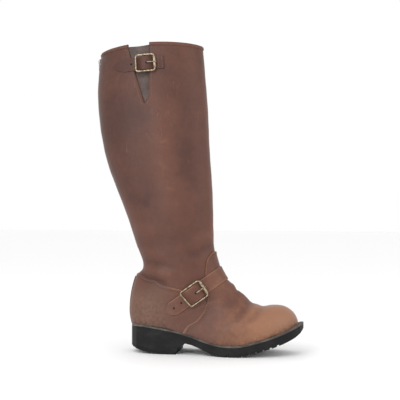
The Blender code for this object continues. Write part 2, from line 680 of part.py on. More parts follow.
def build_zip():
    """Tape, chain and slider up the back, and the pull that hinges on the slider."""
    top = level_height(2.0) - BINDING_WIDTH - LIP
    end = level_height(ZIP_END)
    back_strip("zip_tape", TAPE_WIDTH, -WALL - FIT, -TAPE_THICKNESS, end - 0.004, top, "textile")
    back_strip("zip_chain", CHAIN_WIDTH, -WALL, WALL - FIT, end + 0.001, top - 0.001, "steel")

    face = surface(0.0)
    centre = top - SLIDER_LENGTH / 2
    skin_x = face.ray_cast(Vector((-0.3, 0, centre)), Vector((1, 0, 0)))[0].x
    plate = skin_x - SLIDER_SINK
    half = SLIDER_LENGTH / 2

    def box(x0, x1, y0, y1, z0, z1):
        ring = [(x0, y0), (x1, y0), (x1, y1), (x0, y1)]
        return loft([[(x, y, z) for x, y in ring] for z in (z0, z1)])

    slider = add_object("zip_slider", *box(plate - SLIDER_PLATE, plate, -SLIDER_WIDTH / 2,
                        SLIDER_WIDTH / 2, centre - half, centre + half), "steel")
    deep = plate - SLIDER_PLATE
    out = deep - BRIDGE_RISE
    inner = BRIDGE_TOP - BRIDGE_WALL
    bridge = [(deep + SINK, centre - BRIDGE_FOOT), (out, centre - BRIDGE_TOP), (out, centre + BRIDGE_TOP),
              (deep + SINK, centre + BRIDGE_FOOT), (deep + SINK, centre + BRIDGE_FOOT - BRIDGE_WALL),
              (out + BRIDGE_WALL, centre + inner), (out + BRIDGE_WALL, centre - inner),
              (deep + SINK, centre - BRIDGE_FOOT + BRIDGE_WALL)]
    loop = prism("bridge_shape", bridge, -BRIDGE_WALL, BRIDGE_WALL)
    trim(slider, loop, "UNION")

    axis = Vector((deep - (BRIDGE_RISE - BRIDGE_WALL) / 2, 0, centre - PULL_PIN))
    near, far = axis.x - PULL_THICKNESS / 2, axis.x + PULL_THICKNESS / 2
    arm = (PULL_SLOT, PULL_WIDTH / 2)
    head, window, tail = axis.z + PULL_PIN, axis.z - PULL_WINDOW, axis.z - PULL_LENGTH
    outline = [(-arm[1], head), (-arm[0], head), (-arm[0], window), (arm[0], window), (arm[0], head),
               (arm[1], head), (arm[1], tail + PULL_CORNER), (arm[1] - PULL_CORNER, tail),
               (-arm[1] + PULL_CORNER, tail), (-arm[1], tail + PULL_CORNER)]
    pull = add_object("zip_pull", *loft([[(x, y, z) for y, z in outline] for x in (near, far)]),
                      "steel", axis)
    pin = [[(axis.x + PULL_PIN * 0.9 * cos(a), y, axis.z + PULL_PIN * 0.9 * sin(a))
            for a in np.linspace(0, 2 * pi, 8, endpoint=False)] for y in (-arm[0] - SINK, arm[0] + SINK)]
    trim(pull, add_object("pin_shape", *loft(pin), None), "UNION")


class Band:
    """Arc-length frame of a strap's run round the upper, in a plane tilted in side view.

    s runs along the strap from the buckle's centre, positive toward the roller; t across it;
    h is the height over the face that it lies on.
    """

    def __init__(self, centre, tilt, width, lift, turn, buckle_x, rows=U_ROWS):
        face = surface(lift, rows)
        along = Vector((cos(tilt), 0, sin(tilt)))
        across = Vector((-sin(tilt), 0, cos(tilt)))
        angles = np.radians(np.linspace(*turn, 90))
        points = []
        for a in angles:
            ray = along * cos(a) - Vector((0, 1, 0)) * sin(a)
            points.append([tuple(face.ray_cast(Vector(centre) + across * t, ray)[0])
                           for t in (-width / 2, 0, width / 2)])
        self.grid = np.array(points)
        steps = np.linalg.norm(np.diff(self.grid[:, 1], axis=0), axis=1)
        length = np.concatenate([[0], np.cumsum(steps)])
        side = self.grid[:, 1, 1] < 0
        start = np.interp(buckle_x, self.grid[side, 1, 0][::-1], length[side][::-1])
        self.s = start - length
        run = np.gradient(self.grid, axis=0)
        cross = self.grid[:, 2] - self.grid[:, 0]
        normal = np.cross(run, cross[:, None, :])
        normal /= np.linalg.norm(normal, axis=2)[:, :, None]
        outward = self.grid[:, 1] - np.array(centre)
        flip = np.sign((normal[:, 1] * outward).sum(axis=1))
        self.normal = normal * flip[:, None, None]
        self.half = width / 2

    def _rows(self, values, s):
        order = np.argsort(self.s)
        flat = values.reshape(len(self.s), -1)[order]
        return np.array([np.interp(s, self.s[order], column) for column in flat.T]).reshape(values.shape[1:])

    def at(self, s, t, h):
        """Point that follows the face on both sides of the strap's middle."""
        grid, normal = self._rows(self.grid, s), self._rows(self.normal, s)
        k = 2 if t > 0 else 0
        share = abs(t) / self.half
        point = grid[1] + (grid[k] - grid[1]) * share
        lift = normal[1] + (normal[k] - normal[1]) * min(share, 1)
        return point + lift / np.linalg.norm(lift) * h

    def rigid(self, s, t, h):
        """Point of a hard piece, straight across the strap."""
        grid, normal = self._rows(self.grid, s), self._rows(self.normal, s)
        cross = grid[2] - grid[0]
        return grid[1] + cross / np.linalg.norm(cross) * t + normal[1] * h


def ribbon(band, path, thickness, half_width):
    """Rings of a strip that follows a path of (s, h) on a band."""
    path = np.asarray(path, float)
    run = np.gradient(path, axis=0)
    run /= np.linalg.norm(run, axis=1)[:, None]
    rings = []
    for (s, h), (ds, dh) in zip(path, run):
        half = half_width(s)
        ring = []
        for sign, shares in ((-1, (-1, 0, 1)), (1, (1, 0, -1))):
            off = sign * thickness / 2
            ring += [band.at(s - dh * off * np.sign(ds), share * half, h + abs(ds) * off) for share in shares]
        rings.append(ring)
    return rings


def tube(points, normals, radius, closed=False, sides=8):
    """Rings of a round wire along points; normals lie across its run."""
    points, normals = np.asarray(points), np.asarray(normals)
    if closed:
        run = np.roll(points, -1, axis=0) - np.roll(points, 1, axis=0)
    else:
        run = np.gradient(points, axis=0)
    run /= np.linalg.norm(run, axis=1)[:, None]
    side = np.cross(run, normals)
    side /= np.linalg.norm(side, axis=1)[:, None]
    up = np.cross(side, run)
    return [[p + radius * (cos(a) * v + sin(a) * w) for a in np.linspace(0, 2 * pi, sides, endpoint=False)]
            for p, v, w in zip(points, side, up)]


def build_buckled_strap(name, band, strap_width, buckle_length, anchor, tip, point_length):
    """A strap through its buckle: strip, frame with its bar, roller and prong."""
    half = buckle_length / 2
    side = strap_width / 2 + BUCKLE_SIDE + WIRE
    ground = FIT + STRAP_THICKNESS / 2
    ring_height = FIT + STRAP_THICKNESS + 2 * FIT + ROLLER
    bar_height = FIT + BAR_CLEARANCE + BAR
    crest = bar_height + BAR + 2 * FIT + STRAP_THICKNESS / 2
    bar_s, hole_s = BAR_PLACE, HOLE_PLACE

    knots = [(tip, ground), (-half - 0.010, ground), (-half, ground), (-half + 0.003, ground + 0.0003),
             (bar_s - 0.003, crest - 0.0004), (bar_s, crest), (hole_s, crest - 0.0003),
             (half - 0.0055, ground + 0.0010), (half - 0.002, ground), (half + 0.006, ground), (anchor, ground)]
    stations = [k[0] for k in knots]
    heights = [k[1] for k in knots]
    fine = np.arange(-half - 0.004, half + 0.004, 0.0022)
    before = np.linspace(tip, -half - 0.006, max(4, int((-half - 0.006 - tip) / 0.004)))
    after = np.linspace(half + 0.006, anchor, max(4, int((anchor - half) / 0.0055)))
    run = np.concatenate([before, fine, after])
    path = [(s, float(curve(s, stations, heights))) for s in run]

    def half_width(s):
        reach = np.clip((s - tip) / point_length, 0.06, 1)
        return strap_width / 2 * float(np.sqrt(reach))

    strap = add_object(name, *loft(ribbon(band, path, STRAP_THICKNESS, half_width)), "leather")

    corner = BUCKLE_CORNER
    flat = []
    for cx, cy, start in ((half - corner, side - corner, 0), (-half + corner, side - corner, 90),
                          (-half + corner, -side + corner, 180), (half - corner, -side + corner, 270)):
        flat += [(cx + corner * cos(radians(start + a)), cy + corner * sin(radians(start + a)))
                 for a in (0, 30, 60, 90)]
    points = [band.rigid(s, t, ring_height) for s, t in flat]
    normals = [band.rigid(s, t, ring_height + 1) - p for (s, t), p in zip(flat, points)]
    frame = add_object(name + "_frame", *loft(tube(points, normals, WIRE, True), closed=True), "brass")
    bar_path = [(-side, ring_height), (-side + 0.0006, bar_height + 0.0008), (-side + 0.0022, bar_height),
                (side - 0.0022, bar_height), (side - 0.0006, bar_height + 0.0008), (side, ring_height)]
    bar_points = [band.rigid(bar_s, t, h) for t, h in bar_path]
    run_normal = band.rigid(bar_s + 0.001, 0, 0) - band.rigid(bar_s, 0, 0)
    bar = add_object(name + "_bar_shape", *loft(tube(bar_points, [run_normal] * len(bar_points), BAR)), None)
    trim(frame, bar, "UNION")

    ends = [band.rigid(half, t, ring_height) for t in (-side + corner + 0.0004, side - corner - 0.0004)]
    up = band.rigid(half, 0, 1) - band.rigid(half, 0, 0)
    outer, inner = (tube(ends, [up, up], radius, sides=12) for radius in (ROLLER, WIRE + FIT))
    loops = [[outer[0][k], outer[1][k], inner[1][k], inner[0][k]] for k in range(12)]
    add_object(name + "_roller", *loft(loops, closed=True), "brass")

    rest = ring_height + ROLLER + FIT + PRONG
    prong_path = [(hole_s, bar_height + 0.0002), (hole_s + 0.0001, crest - 0.0006),
                  (hole_s + 0.0003, crest + 0.0016), (hole_s + 0.0018, rest - 0.0001),
                  (half - 0.002, rest), (half + ROLLER + 0.0006, rest - 0.0006)]
    prong_points = [band.rigid(s, 0, h) for s, h in prong_path]
    across = band.rigid(hole_s, 0.01, 0) - band.rigid(hole_s, 0, 0)
    rings = tube(prong_points, [across] * len(prong_points), PRONG, sides=8)
    add_object(name + "_prong", *loft(rings), "brass")

    holes = [hole_s] + [s for s in (-half - 0.008, -half - 0.008 - HOLE_PITCH) if s > tip + point_length]
    vertices, faces = [], []
    for s in holes:
        ends = [band.rigid(s, 0, -0.002), band.rigid(s, 0, 0.012)]
        ring_vertices, ring_faces = loft(tube(ends, [across, across], HOLE, sides=10))
        base = len(vertices)
        vertices += ring_vertices
        faces += [tuple(base + k for k in face) for face in ring_faces]
    trim(strap, add_object(name + "_hole_cutter", vertices, faces, None))


def clear_scene():
    """Start from an empty scene."""
    for item in list(bpy.data.objects):
        bpy.data.objects.remove(item, do_unlink=True)


def main():
    """Build every piece."""
    clear_scene()
    build_sole()
    build_upper()
    build_binding()
    build_gusset()
    build_zip()
    seat = level_height(0.0)
    stay_top = level_height(0.80)
    back_strip("back_stay", STAY_WIDTH, OVERLAY_FIT + OVERLAY + FIT, OVERLAY, seat + LEDGE, stay_top,
               "leather", 12)
    top_band = Band((0.13 * SOLE_LENGTH, 0, level_height(1.94)), radians(TOP_TILT), TOP_STRAP_WIDTH, 0.0,
                    (25, 170), 0.115 * SOLE_LENGTH)
    build_buckled_strap("top_strap", top_band, TOP_STRAP_WIDTH, TOP_BUCKLE_LENGTH, TOP_ANCHOR, TOP_TIP,
                        TOP_POINT)
    instep_band = Band((0.40 * SOLE_LENGTH, 0, level_height(0.57)), radians(INSTEP_TILT), INSTEP_STRAP_WIDTH,
                       OVERLAY_FIT + OVERLAY + FIT, (-118, 150), 0.388 * SOLE_LENGTH, U_ROWS[U_ROWS > 8])
    build_buckled_strap("instep_strap", instep_band, INSTEP_STRAP_WIDTH, INSTEP_BUCKLE_LENGTH,
                        INSTEP_ANCHOR, INSTEP_TIP, INSTEP_POINT)


main()
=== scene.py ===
"""Finishes of the tall buckled leather boot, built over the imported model.

Metres, in the model's own frame: +X to the toe, +Z up, the buckled outer side faces -Y.
Stations are shares of the sole's length from its back; levels are 0 at the heel seat, 1 at the
crease behind the ankle and 2 at the collar. Rows u number the upper's sections, from 0 at the
collar to the last one under the toe; an angle is 0 at the front and pi at the back of a row.
"""

import logging
from dataclasses import dataclass, field
from enum import Enum
from math import cos, pi, radians, sin
from typing import Callable, Sequence

import bpy
import numpy as np
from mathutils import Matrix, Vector
from mathutils.bvhtree import BVHTree


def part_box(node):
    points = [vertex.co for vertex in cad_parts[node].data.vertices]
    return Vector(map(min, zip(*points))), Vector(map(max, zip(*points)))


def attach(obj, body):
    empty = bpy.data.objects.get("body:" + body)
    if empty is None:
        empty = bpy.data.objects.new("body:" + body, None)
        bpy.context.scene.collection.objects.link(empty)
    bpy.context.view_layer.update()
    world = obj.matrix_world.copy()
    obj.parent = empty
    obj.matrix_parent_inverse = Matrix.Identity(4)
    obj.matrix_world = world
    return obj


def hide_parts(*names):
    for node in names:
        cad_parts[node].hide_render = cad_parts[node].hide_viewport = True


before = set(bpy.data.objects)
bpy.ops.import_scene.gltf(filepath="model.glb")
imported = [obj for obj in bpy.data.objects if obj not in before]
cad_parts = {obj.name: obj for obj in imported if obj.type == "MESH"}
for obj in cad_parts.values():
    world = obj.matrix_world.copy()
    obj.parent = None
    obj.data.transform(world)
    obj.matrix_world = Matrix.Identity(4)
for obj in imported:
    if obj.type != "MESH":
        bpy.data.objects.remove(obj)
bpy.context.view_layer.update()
LOG = logging.getLogger("boot")

Array = np.ndarray
BODY = "boot"
# Rows tried when a seam is looked for, and when a row is looked up by its level.
SEAM_SAMPLES, ROW_SAMPLES = 420, 600
NEAR = 1e-6
# How far thread stands over the leather, at its middle.
THREAD_LIFT = 0.00015


def curve(at: Array | float, xs: Sequence[float], ys: Sequence[float]) -> Array:
    """Smooth curve through points that never overshoots them: cubic pieces, weighted slopes.

    Args:
        at: Where the curve is read.
        xs: Rising places of the points.
        ys: Values of the points.

    Returns:
        The values, in the shape of at.
    """
    xs, ys = np.asarray(xs, float), np.asarray(ys, float)
    step = np.diff(xs)
    slope = np.diff(ys) / step
    tangent = np.zeros(len(xs))
    tangent[0], tangent[-1] = slope[0], slope[-1]
    before, after = slope[:-1], slope[1:]
    same = before * after > 0
    near, far = 2 * step[1:] + step[:-1], step[1:] + 2 * step[:-1]
    weight = near[same] / before[same] + far[same] / after[same]
    tangent[1:-1][same] = (near + far)[same] / weight
    at = np.clip(at, xs[0], xs[-1])
    k = np.clip(np.searchsorted(xs, at) - 1, 0, len(step) - 1)
    t = (at - xs[k]) / step[k]
    rise = ys[k] * (1 + 2 * t) * (1 - t) ** 2 + ys[k + 1] * t * t * (3 - 2 * t)
    bend = tangent[k] * t * (1 - t) ** 2 - tangent[k + 1] * t * t * (1 - t)
    return rise + step[k] * bend


def smooth_step(value: Array) -> Array:
    """Ease from 0 to 1: 3 t squared minus 2 t cubed, clipped."""
    t = np.clip(value, 0, 1)
    return t * t * (3 - 2 * t)


def unit(vectors: Array) -> Array:
    """Vectors of length one along the last axis."""
    return vectors / np.maximum(np.linalg.norm(vectors, axis=-1, keepdims=True), 1e-12)


class Sock:
    """A shader socket with arithmetic: an expression on values adds its Math nodes."""

    def __init__(self, tree: bpy.types.NodeTree, socket: bpy.types.NodeSocket) -> None:
        """Wrap one output socket of a tree."""
        self.tree, self.socket = tree, socket

    def _math(self, operation: str, first: "Sock | float", second: "Sock | float") -> "Sock":
        """Math node of two values."""
        node = self.tree.nodes.new("ShaderNodeMath")
        node.operation = operation
        for slot, value in zip(node.inputs, (first, second)):
            if isinstance(value, Sock):
                self.tree.links.new(value.socket, slot)
            else:
                slot.default_value = value
        return Sock(self.tree, node.outputs[0])

    def __add__(self, other: "Sock | float") -> "Sock":
        """Sum."""
        return self._math("ADD", self, other)

    def __radd__(self, other: float) -> "Sock":
        """Reflected sum."""
        return self._math("ADD", other, self)

    def __sub__(self, other: "Sock | float") -> "Sock":
        """Difference."""
        return self._math("SUBTRACT", self, other)

    def __rsub__(self, other: float) -> "Sock":
        """Reflected difference."""
        return self._math("SUBTRACT", other, self)

    def __mul__(self, other: "Sock | float") -> "Sock":
        """Product."""
        return self._math("MULTIPLY", self, other)

    def __rmul__(self, other: float) -> "Sock":
        """Reflected product."""
        return self._math("MULTIPLY", other, self)

    def __abs__(self) -> "Sock":
        """Size without sign."""
        return self._math("ABSOLUTE", self, 0.0)

    def clipped(self) -> "Sock":
        """The value held between 0 and 1."""
        low = self._math("MAXIMUM", self, 0.0)
        return low._math("MINIMUM", low, 1.0)

    def ramp(self, low: float, high: float) -> "Sock":
        """0 below low, 1 above high, eased between."""
        node = self.tree.nodes.new("ShaderNodeMapRange")
        node.interpolation_type = "SMOOTHSTEP"
        self.tree.links.new(self.socket, node.inputs[0])
        node.inputs[1].default_value, node.inputs[2].default_value = low, high
        return Sock(self.tree, node.outputs[0])


Colour = tuple[float, float, float]

# Sockets of the Mix node when it mixes colours.
MIX_SHARE, MIX_LOW, MIX_HIGH, MIX_COLOUR = 0, 6, 7, 2
# Radians that the Wave node turns in one metre at scale 1.
WAVE_RADIANS = 20


class Shader:
    """One material under construction."""

    def __init__(self, name: str) -> None:
        """Make the material with its Principled shader."""
        self.material = bpy.data.materials.new(name)
        self.material.use_nodes = True
        self.tree = self.material.node_tree
        self.surface = self.tree.nodes["Principled BSDF"]
        self.place = Sock(self.tree, self.tree.nodes.new("ShaderNodeTexCoord").outputs["Object"])

    def node(self, kind: str, settings: dict | None = None, inputs: dict | None = None,
             output: int | str = 0) -> Sock:
        """Any other node.

        Args:
            kind: The node's type.
            settings: Attributes, set first.
            inputs: Values or sockets of its inputs, by name or number.
            output: Which output is returned.

        Returns:
            The output, wrapped.
        """
        made = self.tree.nodes.new(kind)
        for key, value in (settings or {}).items():
            setattr(made, key, value)
        for key, value in (inputs or {}).items():
            if isinstance(value, Sock):
                self.tree.links.new(value.socket, made.inputs[key])
            else:
                made.inputs[key].default_value = value
        return Sock(self.tree, made.outputs[output])

    def noise(self, scale: float, detail: float = 3.0, rough: float = 0.55,
              stretch: Colour = (1, 1, 1)) -> Sock:
        """Cloudy value around one half; stretch scales the axes."""
        place = self.node("ShaderNodeVectorMath", {"operation": "MULTIPLY"},
                          {0: self.place, 1: stretch})
        return self.node("ShaderNodeTexNoise", None, {"Vector": place, "Scale": scale,
                                                      "Detail": detail, "Roughness": rough})

    def cells(self, scale: float) -> Sock:
        """Distance to the nearest cell centre."""
        return self.node("ShaderNodeTexVoronoi", None, {"Vector": self.place, "Scale": scale})

    def trait(self, name: str) -> Sock:
        """A value carried by the mesh."""
        return self.node("ShaderNodeAttribute", {"attribute_name": name}, None, "Fac")

    def blend(self, share: Sock, low: Sock | Colour, high: Sock | Colour) -> Sock:
        """Mix of two colours by a share between 0 and 1."""
        made = self.tree.nodes.new("ShaderNodeMix")
        made.data_type = "RGBA"
        self.tree.links.new(share.socket, made.inputs[MIX_SHARE])
        for slot, value in ((MIX_LOW, low), (MIX_HIGH, high)):
            if isinstance(value, Sock):
                self.tree.links.new(value.socket, made.inputs[slot])
            else:
                made.inputs[slot].default_value = (*value, 1)
        return Sock(self.tree, made.outputs[MIX_COLOUR])

    def feed(self, socket: str, value: Sock | float | Colour) -> None:
        """Link or set one socket of the surface."""
        if isinstance(value, Sock):
            self.tree.links.new(value.socket, self.surface.inputs[socket])
        elif isinstance(value, tuple):
            self.surface.inputs[socket].default_value = (*value, 1)
        else:
            self.surface.inputs[socket].default_value = value

    def relief(self, height: Sock, depth: float, strength: float = 1.0) -> None:
        """Bump the surface by a height in metres times depth."""
        bump = self.node("ShaderNodeBump", None, {"Strength": strength, "Distance": depth,
                                                  "Height": height}, "Normal")
        self.feed("Normal", bump)


@dataclass(frozen=True)
class OiledLeather:
    """Waxed pull-up leather: dark and reddish clouds, light where it is bent, rubbed or dry; the
    tone it reads also brings painted highlights and painted shade.
    """

    name: str = "oiled_leather"
    deep: Colour = (0.060, 0.023, 0.016)
    body: Colour = (0.112, 0.043, 0.028)
    light: Colour = (0.270, 0.122, 0.066)
    bare: Colour = (0.380, 0.240, 0.165)
    dark_mark: Colour = (0.040, 0.018, 0.013)
    clouds: float = 0.50
    patches: float = 0.42
    mottling: float = 0.25
    streaking: float = 0.22
    scratching: float = 0.16
    dark_marking: float = 0.75
    roughness: float = 0.43
    specular: float = 0.32
    grain: float = 0.00022

    def build(self) -> bpy.types.Material:
        """Make the material; it reads the traits tone, rub and darkening from the mesh."""
        s = Shader(self.name)
        tone, rub, darkening = s.trait("tone"), s.trait("rub"), s.trait("darkening")
        cloud = s.noise(11, 4, 0.55, (1.0, 1.0, 0.6))
        patch = s.noise(34, 5, 0.6)
        mottle = s.noise(120, 4, 0.65)
        level = (tone + (cloud - 0.5) * self.clouds + (patch - 0.5) * self.patches
                 + (mottle - 0.5) * self.mottling).clipped()
        base = s.blend(level.ramp(0.0, 0.55), self.deep, self.body)
        base = s.blend(level.ramp(0.45, 1.0), base, self.light)
        scuff = s.noise(420, 6, 0.7)
        worn = (rub * (0.45 + 1.3 * (scuff - 0.32))).clipped()
        base = s.blend(worn, base, self.bare)
        streak = s.noise(60, 3, 0.6, (6.0, 6.0, 0.7)).ramp(0.66, 0.74)
        base = s.blend(streak * self.streaking, base, self.light)
        crack = s.node("ShaderNodeTexVoronoi", {"feature": "DISTANCE_TO_EDGE"},
                       {"Vector": s.place, "Scale": 150.0}).ramp(0.0, 0.10)
        line = 1 - abs(s.noise(45, 2, 0.5, (1.6, 1.6, 0.5)) - 0.5).ramp(0.002, 0.011)
        scratch = line * s.noise(14, 2).ramp(0.58, 0.68) * self.scratching
        base = s.blend(scratch, base, self.light)
        # Darker marks, patterned by noise and cracks, just above the sole and over the heel.
        marked = (darkening * (s.noise(210, 5, 0.7).ramp(0.38, 0.62) + (1 - crack) * 0.6)).clipped()
        base = s.blend(marked * self.dark_marking, base, self.dark_mark)
        s.feed("Base Color", base)
        s.feed("Roughness", (self.roughness + (patch - 0.5) * 0.30 + worn * 0.22).clipped())
        s.feed("Specular IOR Level", self.specular)
        pores = s.cells(900)
        fine = s.noise(1500, 3, 0.6)
        wrinkle = s.noise(210, 4, 0.55)
        height = pores * 0.35 + fine * 0.45 + wrinkle * 1.1 + scuff * 0.5 * rub
        s.relief(height, self.grain, 0.75)
        return s.material


@dataclass(frozen=True)
class PlainLeather:
    """Even leather for linings, insole and the gusset, with pores and slight clouds."""

    name: str
    low: Colour
    high: Colour
    roughness: float = 0.6
    grain: float = 0.00018

    def build(self) -> bpy.types.Material:
        """Make the material."""
        s = Shader(self.name)
        cloud = s.noise(40, 4, 0.6)
        fine = s.noise(700, 4, 0.65)
        shade = (cloud * 0.7 + fine * 0.3).ramp(0.3, 0.7)
        s.feed("Base Color", s.blend(shade, self.low, self.high))
        s.feed("Roughness", (self.roughness + (cloud - 0.5) * 0.25).clipped())
        s.relief(s.cells(1100) * 0.5 + fine, self.grain, 0.7)
        return s.material


@dataclass(frozen=True)
class Rubber:
    """Moulded black rubber, dusty and slightly scuffed."""

    name: str = "moulded_rubber"
    base: Colour = (0.0065, 0.0062, 0.0065)
    dust: Colour = (0.045, 0.043, 0.041)
    dustiness: float = 0.5
    roughness: float = 0.48
    specular: float = 0.20
    grain: float = 0.00016

    def build(self) -> bpy.types.Material:
        """Make the material."""
        s = Shader(self.name)
        cloud = s.noise(30, 5, 0.65, (1, 1, 2))
        fleck = s.noise(520, 5, 0.7)
        dusty = (cloud.ramp(0.42, 0.75) * 0.6 + fleck.ramp(0.58, 0.8) * 0.5) * self.dustiness
        s.feed("Base Color", s.blend(dusty.clipped(), self.base, self.dust))
        s.feed("Specular IOR Level", self.specular)
        s.feed("Roughness", (self.roughness + (cloud - 0.5) * 0.3 + fleck * 0.1).clipped())
        s.relief(fleck + s.noise(90, 3) * 0.8, self.grain, 0.6)
        return s.material


@dataclass(frozen=True)
class AgedMetal:
    """Cast metal with tarnish in its hollows and bright rubbed flats."""

    name: str
    bright: Colour
    dark: Colour
    roughness: float = 0.26
    grain: float = 0.00005

    def build(self) -> bpy.types.Material:
        """Make the material."""
        s = Shader(self.name)
        cloud = s.noise(260, 5, 0.65)
        fine = s.noise(1800, 4, 0.7)
        tarnish = (cloud * 0.8 + fine * 0.3).ramp(0.40, 0.72)
        s.feed("Base Color", s.blend(tarnish * 0.85, self.bright, self.dark))
        s.feed("Metallic", 1.0)
        s.feed("Roughness", (self.roughness + tarnish * 0.28 + (fine - 0.5) * 0.2).clipped())
        s.relief(fine + cloud, self.grain, 0.6)
        return s.material


@dataclass(frozen=True)
class Textile:
    """Woven tape or waxed thread: crossed fine waves under a dull colour."""

    name: str
    base: Colour
    high: Colour
    pitch: float = 0.0007
    roughness: float = 0.85
    grain: float = 0.00012

    def build(self) -> bpy.types.Material:
        """Make the material."""
        s = Shader(self.name)
        scale = pi / self.pitch / WAVE_RADIANS
        weave, cross = (s.node("ShaderNodeTexWave", {"bands_direction": way},
                               {"Vector": s.place, "Scale": scale}) for way in ("Z", "Y"))
        fuzz = s.noise(900, 3)
        shade = (weave * 0.4 + cross * 0.3 + fuzz * 0.4).clipped()
        s.feed("Base Color", s.blend(shade, self.base, self.high))
        s.feed("Roughness", self.roughness)
        s.relief(weave + cross + fuzz, self.grain, 0.7)
        return s.material


class Finish(Enum):
    """The finishes of the boot's pieces, with the record's slot that each belongs to."""

    LEATHER = ("leather", OiledLeather())
    STRAP = ("leather", OiledLeather("strap_leather", roughness=0.45, grain=0.00018))
    GUSSET = ("dark_leather", PlainLeather("gusset_leather", low=(0.030, 0.015, 0.011),
                                           high=(0.120, 0.072, 0.058), roughness=0.48))
    LINING = ("insole", PlainLeather("lining_leather", low=(0.130, 0.066, 0.038),
                                     high=(0.260, 0.150, 0.090), roughness=0.68))
    INSOLE = ("insole", PlainLeather("insole_leather", low=(0.200, 0.110, 0.060),
                                     high=(0.340, 0.210, 0.130), roughness=0.62))
    RUBBER = ("rubber", Rubber())
    WELT = ("welt", Rubber("welt_rubber", base=(0.060, 0.055, 0.050), dust=(0.300, 0.275, 0.240),
                           dustiness=0.9, roughness=0.55))
    BRASS = ("brass", AgedMetal("antique_brass", bright=(0.47, 0.385, 0.265),
                                dark=(0.080, 0.064, 0.038)))
    STEEL = ("steel", AgedMetal("zip_metal", bright=(0.36, 0.35, 0.34), dark=(0.09, 0.09, 0.09),
                                roughness=0.34))
    TAPE = ("textile", Textile("zip_weave", base=(0.030, 0.018, 0.014),
                               high=(0.075, 0.048, 0.036)))
    THREAD = ("leather", Textile("waxed_thread", base=(0.110, 0.050, 0.030),
                                 high=(0.260, 0.140, 0.085), pitch=0.0004))


class Palette:
    """Finishes made once and handed out."""

    def __init__(self) -> None:
        """Start with none made."""
        self.made: dict[Finish, bpy.types.Material] = {}

    def get(self, finish: Finish) -> bpy.types.Material:
        """The material of a finish."""
        if finish not in self.made:
            self.made[finish] = finish.value[1].build()
        return self.made[finish]

    def dress(self, piece: bpy.types.Object, finish: Finish) -> None:
        """Give a piece its finish."""
        piece.data.materials.clear()
        piece.data.materials.append(self.get(finish))

    def redress(self, node: str, finish: Finish) -> None:
        """Give a node of the model a better material."""
        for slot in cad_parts[node].material_slots:
            slot.material = self.get(finish)


PALETTE = Palette()


def grid_faces(rows: int, columns: int, closed: bool = False) -> Array:
    """Quads of a grid of points; closed joins the last column to the first.

    Args:
        rows: Number of rows.
        columns: Number of columns.
        closed: Whether the columns go round.

    Returns:
        Array of quads.
    """
    steps = columns if closed else columns - 1
    i, j = np.meshgrid(np.arange(rows - 1), np.arange(steps), indexing="ij")
    after = (j + 1) % columns
    quads = np.stack([i * columns + j, i * columns + after, (i + 1) * columns + after,
                      (i + 1) * columns + j], axis=-1)
    return quads.reshape(-1, 4)


def add_piece(name: str, points: Array, quads: Array, finish: Finish,
              replaces: Sequence[str] = (), traits: dict[str, Array] | None = None,
              outward: Array | None = None) -> bpy.types.Object:
    """Make a piece from points and quads, dress it and let it ride on the boot's body.

    Args:
        name: The piece's name.
        points: Points, n by 3.
        quads: Faces, m by 4; a triangle repeats its first corner at the end.
        finish: Its finish.
        replaces: Nodes of the model that it stands for.
        traits: Values carried by the mesh, by name.
        outward: A direction field, n by 3, that the faces should follow.

    Returns:
        The object.
    """
    quads = np.asarray(quads)
    if outward is not None:
        a, b, c = (points[quads[:, k]] for k in (0, 1, 3))
        if (np.cross(b - a, c - a) * outward[quads[:, 1]]).sum() < 0:
            quads = quads[:, ::-1]
    mesh = bpy.data.meshes.new(name)
    mesh.vertices.add(len(points))
    mesh.vertices.foreach_set("co", np.ascontiguousarray(points, np.float32).ravel())
    corners = np.ones(quads.shape, bool)
    corners[:, 3] = quads[:, 0] != quads[:, 3]
    used = quads[corners].astype(np.int32)
    starts = np.concatenate([[0], np.cumsum(corners.sum(axis=1))[:-1]]).astype(np.int32)
    mesh.loops.add(len(used))
    mesh.loops.foreach_set("vertex_index", used)
    mesh.polygons.add(len(quads))
    mesh.polygons.foreach_set("loop_start", starts)
    mesh.update(calc_edges=True)
    mesh.validate()
    mesh.shade_smooth()
    for key, values in {"tone": 0.5, "rub": 0.0, "darkening": 0.0, **(traits or {})}.items():
        layer = mesh.attributes.new(key, "FLOAT", "POINT")
        spread = np.broadcast_to(np.asarray(values, np.float32), len(points))
        layer.data.foreach_set("value", spread.copy())
    piece = bpy.data.objects.new(name, mesh)
    bpy.context.scene.collection.objects.link(piece)
    PALETTE.dress(piece, finish)
    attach(piece, BODY)
    if replaces:
        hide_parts(*replaces)
    LOG.info("%s: %d faces", name, len(quads))
    return piece


@dataclass
class Crease:
    """A trough or ridge pressed into the leather along a side-view path."""

    path: Sequence[tuple[float, float]]
    depth: float
    width: float
    sides: str = "both"

    def press(self, shape: "Last", points: Array) -> Array:
        """Lift at each point: depth times a bell of the distance to the path, eased at its ends.

        Args:
            shape: The boot's form, which turns stations and levels into metres.
            points: Points, n by 3.

        Returns:
            Lift along the outward normal, n values.
        """
        knots = np.array([(shape.x_of(s), shape.height(level)) for s, level in self.path])
        reach = np.abs(knots[-1] - knots[0])
        main = int(reach[1] > reach[0])
        knots = knots[np.argsort(knots[:, main])]
        flat = points[:, (0, 2)]
        start, run = knots[0], knots[-1] - knots[0]
        middle = curve(flat[:, main], knots[:, main], knots[:, 1 - main])
        gap = (flat[:, 1 - main] - middle) / np.hypot(1, run[1 - main] / run[main])
        along = (flat[:, main] - start[main]) / run[main]
        taper = smooth_step(along * 4) * smooth_step((1 - along) * 4)
        lift = self.depth * np.exp(-(gap / self.width) ** 2) * taper
        if self.sides == "outer":
            lift = lift * smooth_step(0.5 - points[:, 1] / 0.02)
        elif self.sides == "inner":
            lift = lift * smooth_step(0.5 + points[:, 1] / 0.02)
        return lift


